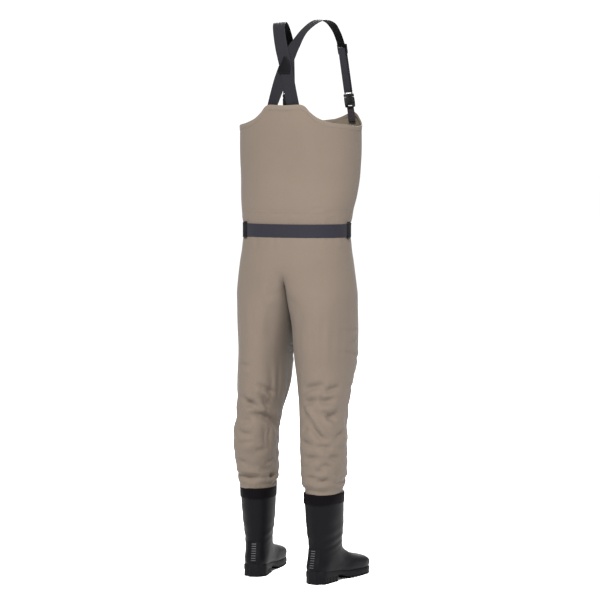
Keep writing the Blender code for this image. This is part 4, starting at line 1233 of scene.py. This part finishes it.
def belt_slide():
    tangent = (torso(43.0, Z_BELT) - torso(41.0, Z_BELT)).normalized()
    normal = Vector((tangent.y, -tangent.x, 0.0))
    turn = Matrix((tangent, -normal, UP)).transposed().to_4x4()
    place = Matrix.Translation(torso(42.0, Z_BELT) + normal * 0.0080) @ turn
    h = WEB_W / 2 + 0.0025
    half = [(0.006, -h), (0.0072, -h + 0.0015), (0.0072, h - 0.0015), (0.006, h)]
    obj = plate("belt_slide", mirrored(half), -0.0008, 0.0030, "plastic", place, 0.0006,
                [(0.0035, -0.02, 0.02, -h + 0.0025, h - 0.0025)])
    finish_piece(obj, "torso", "plastic", "belt_keeper")


def belt_loop(side, deg):
    """Loop of the body's webbing standing over the belt, its ends sewn down."""
    frames = []
    for f in spread(-1.0, 1.0, 48):
        z = Z_BELT + 0.0242 * f
        p = torso(deg, z, 0.0014 + 0.0040 * ease((1.0 - abs(f)) / 0.20))
        frames.append((p, torso(deg + 1, z) - torso(deg - 1, z)))
    obj = sweep(side + "_belt_keeper_loop", frames, "patch", 0.0240, 0.0014, 7, 0.00014, 24)
    finish_piece(obj, "torso", "webbing", side + "_belt_loop")


belt()
belt_slide()
belt_loop("left", 126.0)
belt_loop("right", 270.0)


# ---------------------------------------------------------------- pocket and ring
def pocket():
    """Gusseted pouch with a soft flat front."""
    rings = []
    for v in spread(0.0, 1.0, 40):
        z = POCKET_LOW + (POCKET_TOP - POCKET_LOW) * v
        a, b, cy = table(TORSO, z)
        ring = []
        for u in spread(-1.0, 1.0, 60):
            x = u * POCKET_X
            edge = (1.0 - abs(u) ** 10) * (1.0 - abs(2 * v - 1) ** 12)
            sag = 0.0016 * (1 - u * u) * sin(pi * v) + 0.0007 * noise.noise(Vector((x * 35, 0.0, z * 35)))
            back = cy - (b + 0.001) * (1.0 - abs(x / (a + 0.001)) ** 2.2) ** (1.0 / 2.2)
            y = back + (POCKET_Y + 0.0015 - sag - back) * max(edge, 0.0) ** 0.5
            ring.append(Vector((x, y + BODY_Y, z)))
        rings.append(ring)
    obj = grid("pocket_pouch", rings, "fabric", False, False)
    solid = obj.modifiers.new("cloth", "SOLIDIFY")
    solid.thickness = 0.0008
    solid.offset = 1.0
    freeze(obj)
    return finish_piece(obj, "torso", "fabric", "chest_pocket")


def pocket_edge(pouch):
    """Stitches round the pouch, on its surface."""
    tree = BVHTree.FromObject(pouch, bpy.context.evaluated_depsgraph_get())
    x, low, high = 0.071, POCKET_LOW + 0.004, POCKET_TOP - 0.004
    box = [(-x, low), (x, low), (x, high), (-x, high), (-x, low)]
    path = []
    for (x0, z0), (x1, z1) in zip(box, box[1:]):
        for f in spread(0.0, 1.0, 40)[:-1]:
            above = Vector((x0 + (x1 - x0) * f, POCKET_Y + BODY_Y - 0.0504, z0 + (z1 - z0) * f))
            hit = tree.ray_cast(above, Vector((0, 1, 0)))[0]
            if hit is not None:
                path.append((hit, Vector((0, -1, 0))))
    sew("pocket_stitches", path)


def zip_tapes():
    """Tape on both sides of a wound coil."""
    y = POCKET_Y + BODY_Y - 0.0006
    place = Matrix.Translation((0.0, y, ZIP_Z))
    half = [(0.070, 0.0022), (0.0705, 0.003), (0.0705, 0.0105)]
    for name, sign, nodes in (("low", -1.0, ()), ("high", 1.0, ("pocket_zip",))):
        outline = [(x, z * sign) for x, z in mirrored(half)]
        strip = plate("zip_tape_" + name, outline, -0.0004, 0.0004, "webbing", place, 0.0002)
        finish_piece(strip, "torso", "webbing", *nodes)
    coil = []
    for i in range(68 * 16 + 1):
        t = 2 * pi * i / 16
        coil.append(Vector((-0.068 + 0.002 * i / 16, y - 0.0006 - 0.0008 * (1 + sin(t)),
                            ZIP_Z + 0.0024 * cos(t))))
    rings = []
    for i, p in enumerate(coil):
        along = (coil[min(i + 1, len(coil) - 1)] - coil[max(i - 1, 0)]).normalized()
        side = along.cross(Vector((1.0, 0.0, 0.0))).normalized() * 0.0004
        up = along.cross(side)
        rings.append([p + side, p + up, p - side, p - up])
    finish_piece(grid("zip_coil", rings, "plastic", True, True), "torso", "webbing")


def zip_slide():
    at = Matrix.Translation((ZIP_REACH, BODY_Y + POCKET_Y - 0.0003, ZIP_Z))
    outline = ((-0.0035, -0.0052), (0.0035, -0.0052), (0.0048, -0.0030), (0.0052, 0.0035), (0.0020, 0.0050),
               (0.0, 0.0030), (-0.0020, 0.0050), (-0.0052, 0.0035), (-0.0048, -0.0030))
    turned = [(z, x) for x, z in outline]
    finish_piece(plate("zip_slide_body", turned, -0.0062, -0.0032, "steel", at, 0.0005),
                 "zip", "plastic", "zip_slider")
    half = [(0.0028, -0.0280), (0.0040, -0.0240), (0.0030, -0.0020), (0.0022, 0.0008)]
    hang = at @ Matrix.Translation((0.0, -0.0080, 0.0))
    obj = plate("zip_pull_tab", mirrored(half), -0.0010, 0.0010, "plastic", hang, 0.0004,
                [(0.0012, -0.02, 0.02, -0.0040, -0.0010)])
    finish_piece(obj, "puller", "plastic", "zip_puller")


pouch = pocket()
zip_tapes()
zip_slide()
pocket_edge(pouch)
keep_cad("dring", "steel")
keep_cad("dring_tab", "webbing")


# ---------------------------------------------------------------- camera, floor, light
def aim(name, data, spot, ahead):
    obj = add_object(name, data)
    obj.location = spot
    obj.rotation_mode = "QUATERNION"
    obj.rotation_quaternion = ahead.to_track_quat("-Z", "Y")
    return obj


def studio():
    ahead, right = Vector((0.3746, -0.9272, 0.0)), Vector((-0.9272, -0.3746, 0.0))
    distance, height, focal, width, aside = 7.0, 1.305, 2419.5, 600.0, 3.2
    camera = bpy.data.cameras.new("camera")
    camera.sensor_width = 36.0
    camera.lens = focal / width * camera.sensor_width
    camera.clip_end = 200.0
    spot = Vector((0.0, BODY_Y, height)) - ahead * distance + right * (aside * distance / focal)
    bpy.context.scene.camera = aim("camera", camera, spot, ahead - UP * 0.0715)
    reach, under = 60, -0.0005
    floor = make("floor", [(-reach, -reach, under), (reach, -reach, under), (reach, reach, under),
                           (-reach, reach, under)], [(0, 1, 2, 3)], "fabric", False)
    made, tree, _ = new_material("pale_floor")
    shade(tree, Base_Color=(0.93, 0.93, 0.93, 1.0), Roughness=1.0, Specular_IOR_Level=0.0)
    floor.data.materials[0] = made
    world = bpy.data.worlds.new("studio")
    world.use_nodes = True
    feed(world.node_tree, world.node_tree.nodes["Background"], {0: (1.0, 1.0, 1.0, 1.0), 1: 1.1})
    bpy.context.scene.world = world
    centre = Vector((0.0, 0.0, 0.85))
    for name, spot, size, power in (("key", (-1.3, 4.5, 5.2), 1.2, 1100.0),
                                    ("fill", (0.8, -4.2, 3.4), 2.0, 420.0)):
        light = bpy.data.lights.new(name, "AREA")
        light.size = size
        light.energy = power
        aim(name, light, spot, centre - Vector(spot))
    bpy.context.scene.view_settings.view_transform = "Standard"


studio()
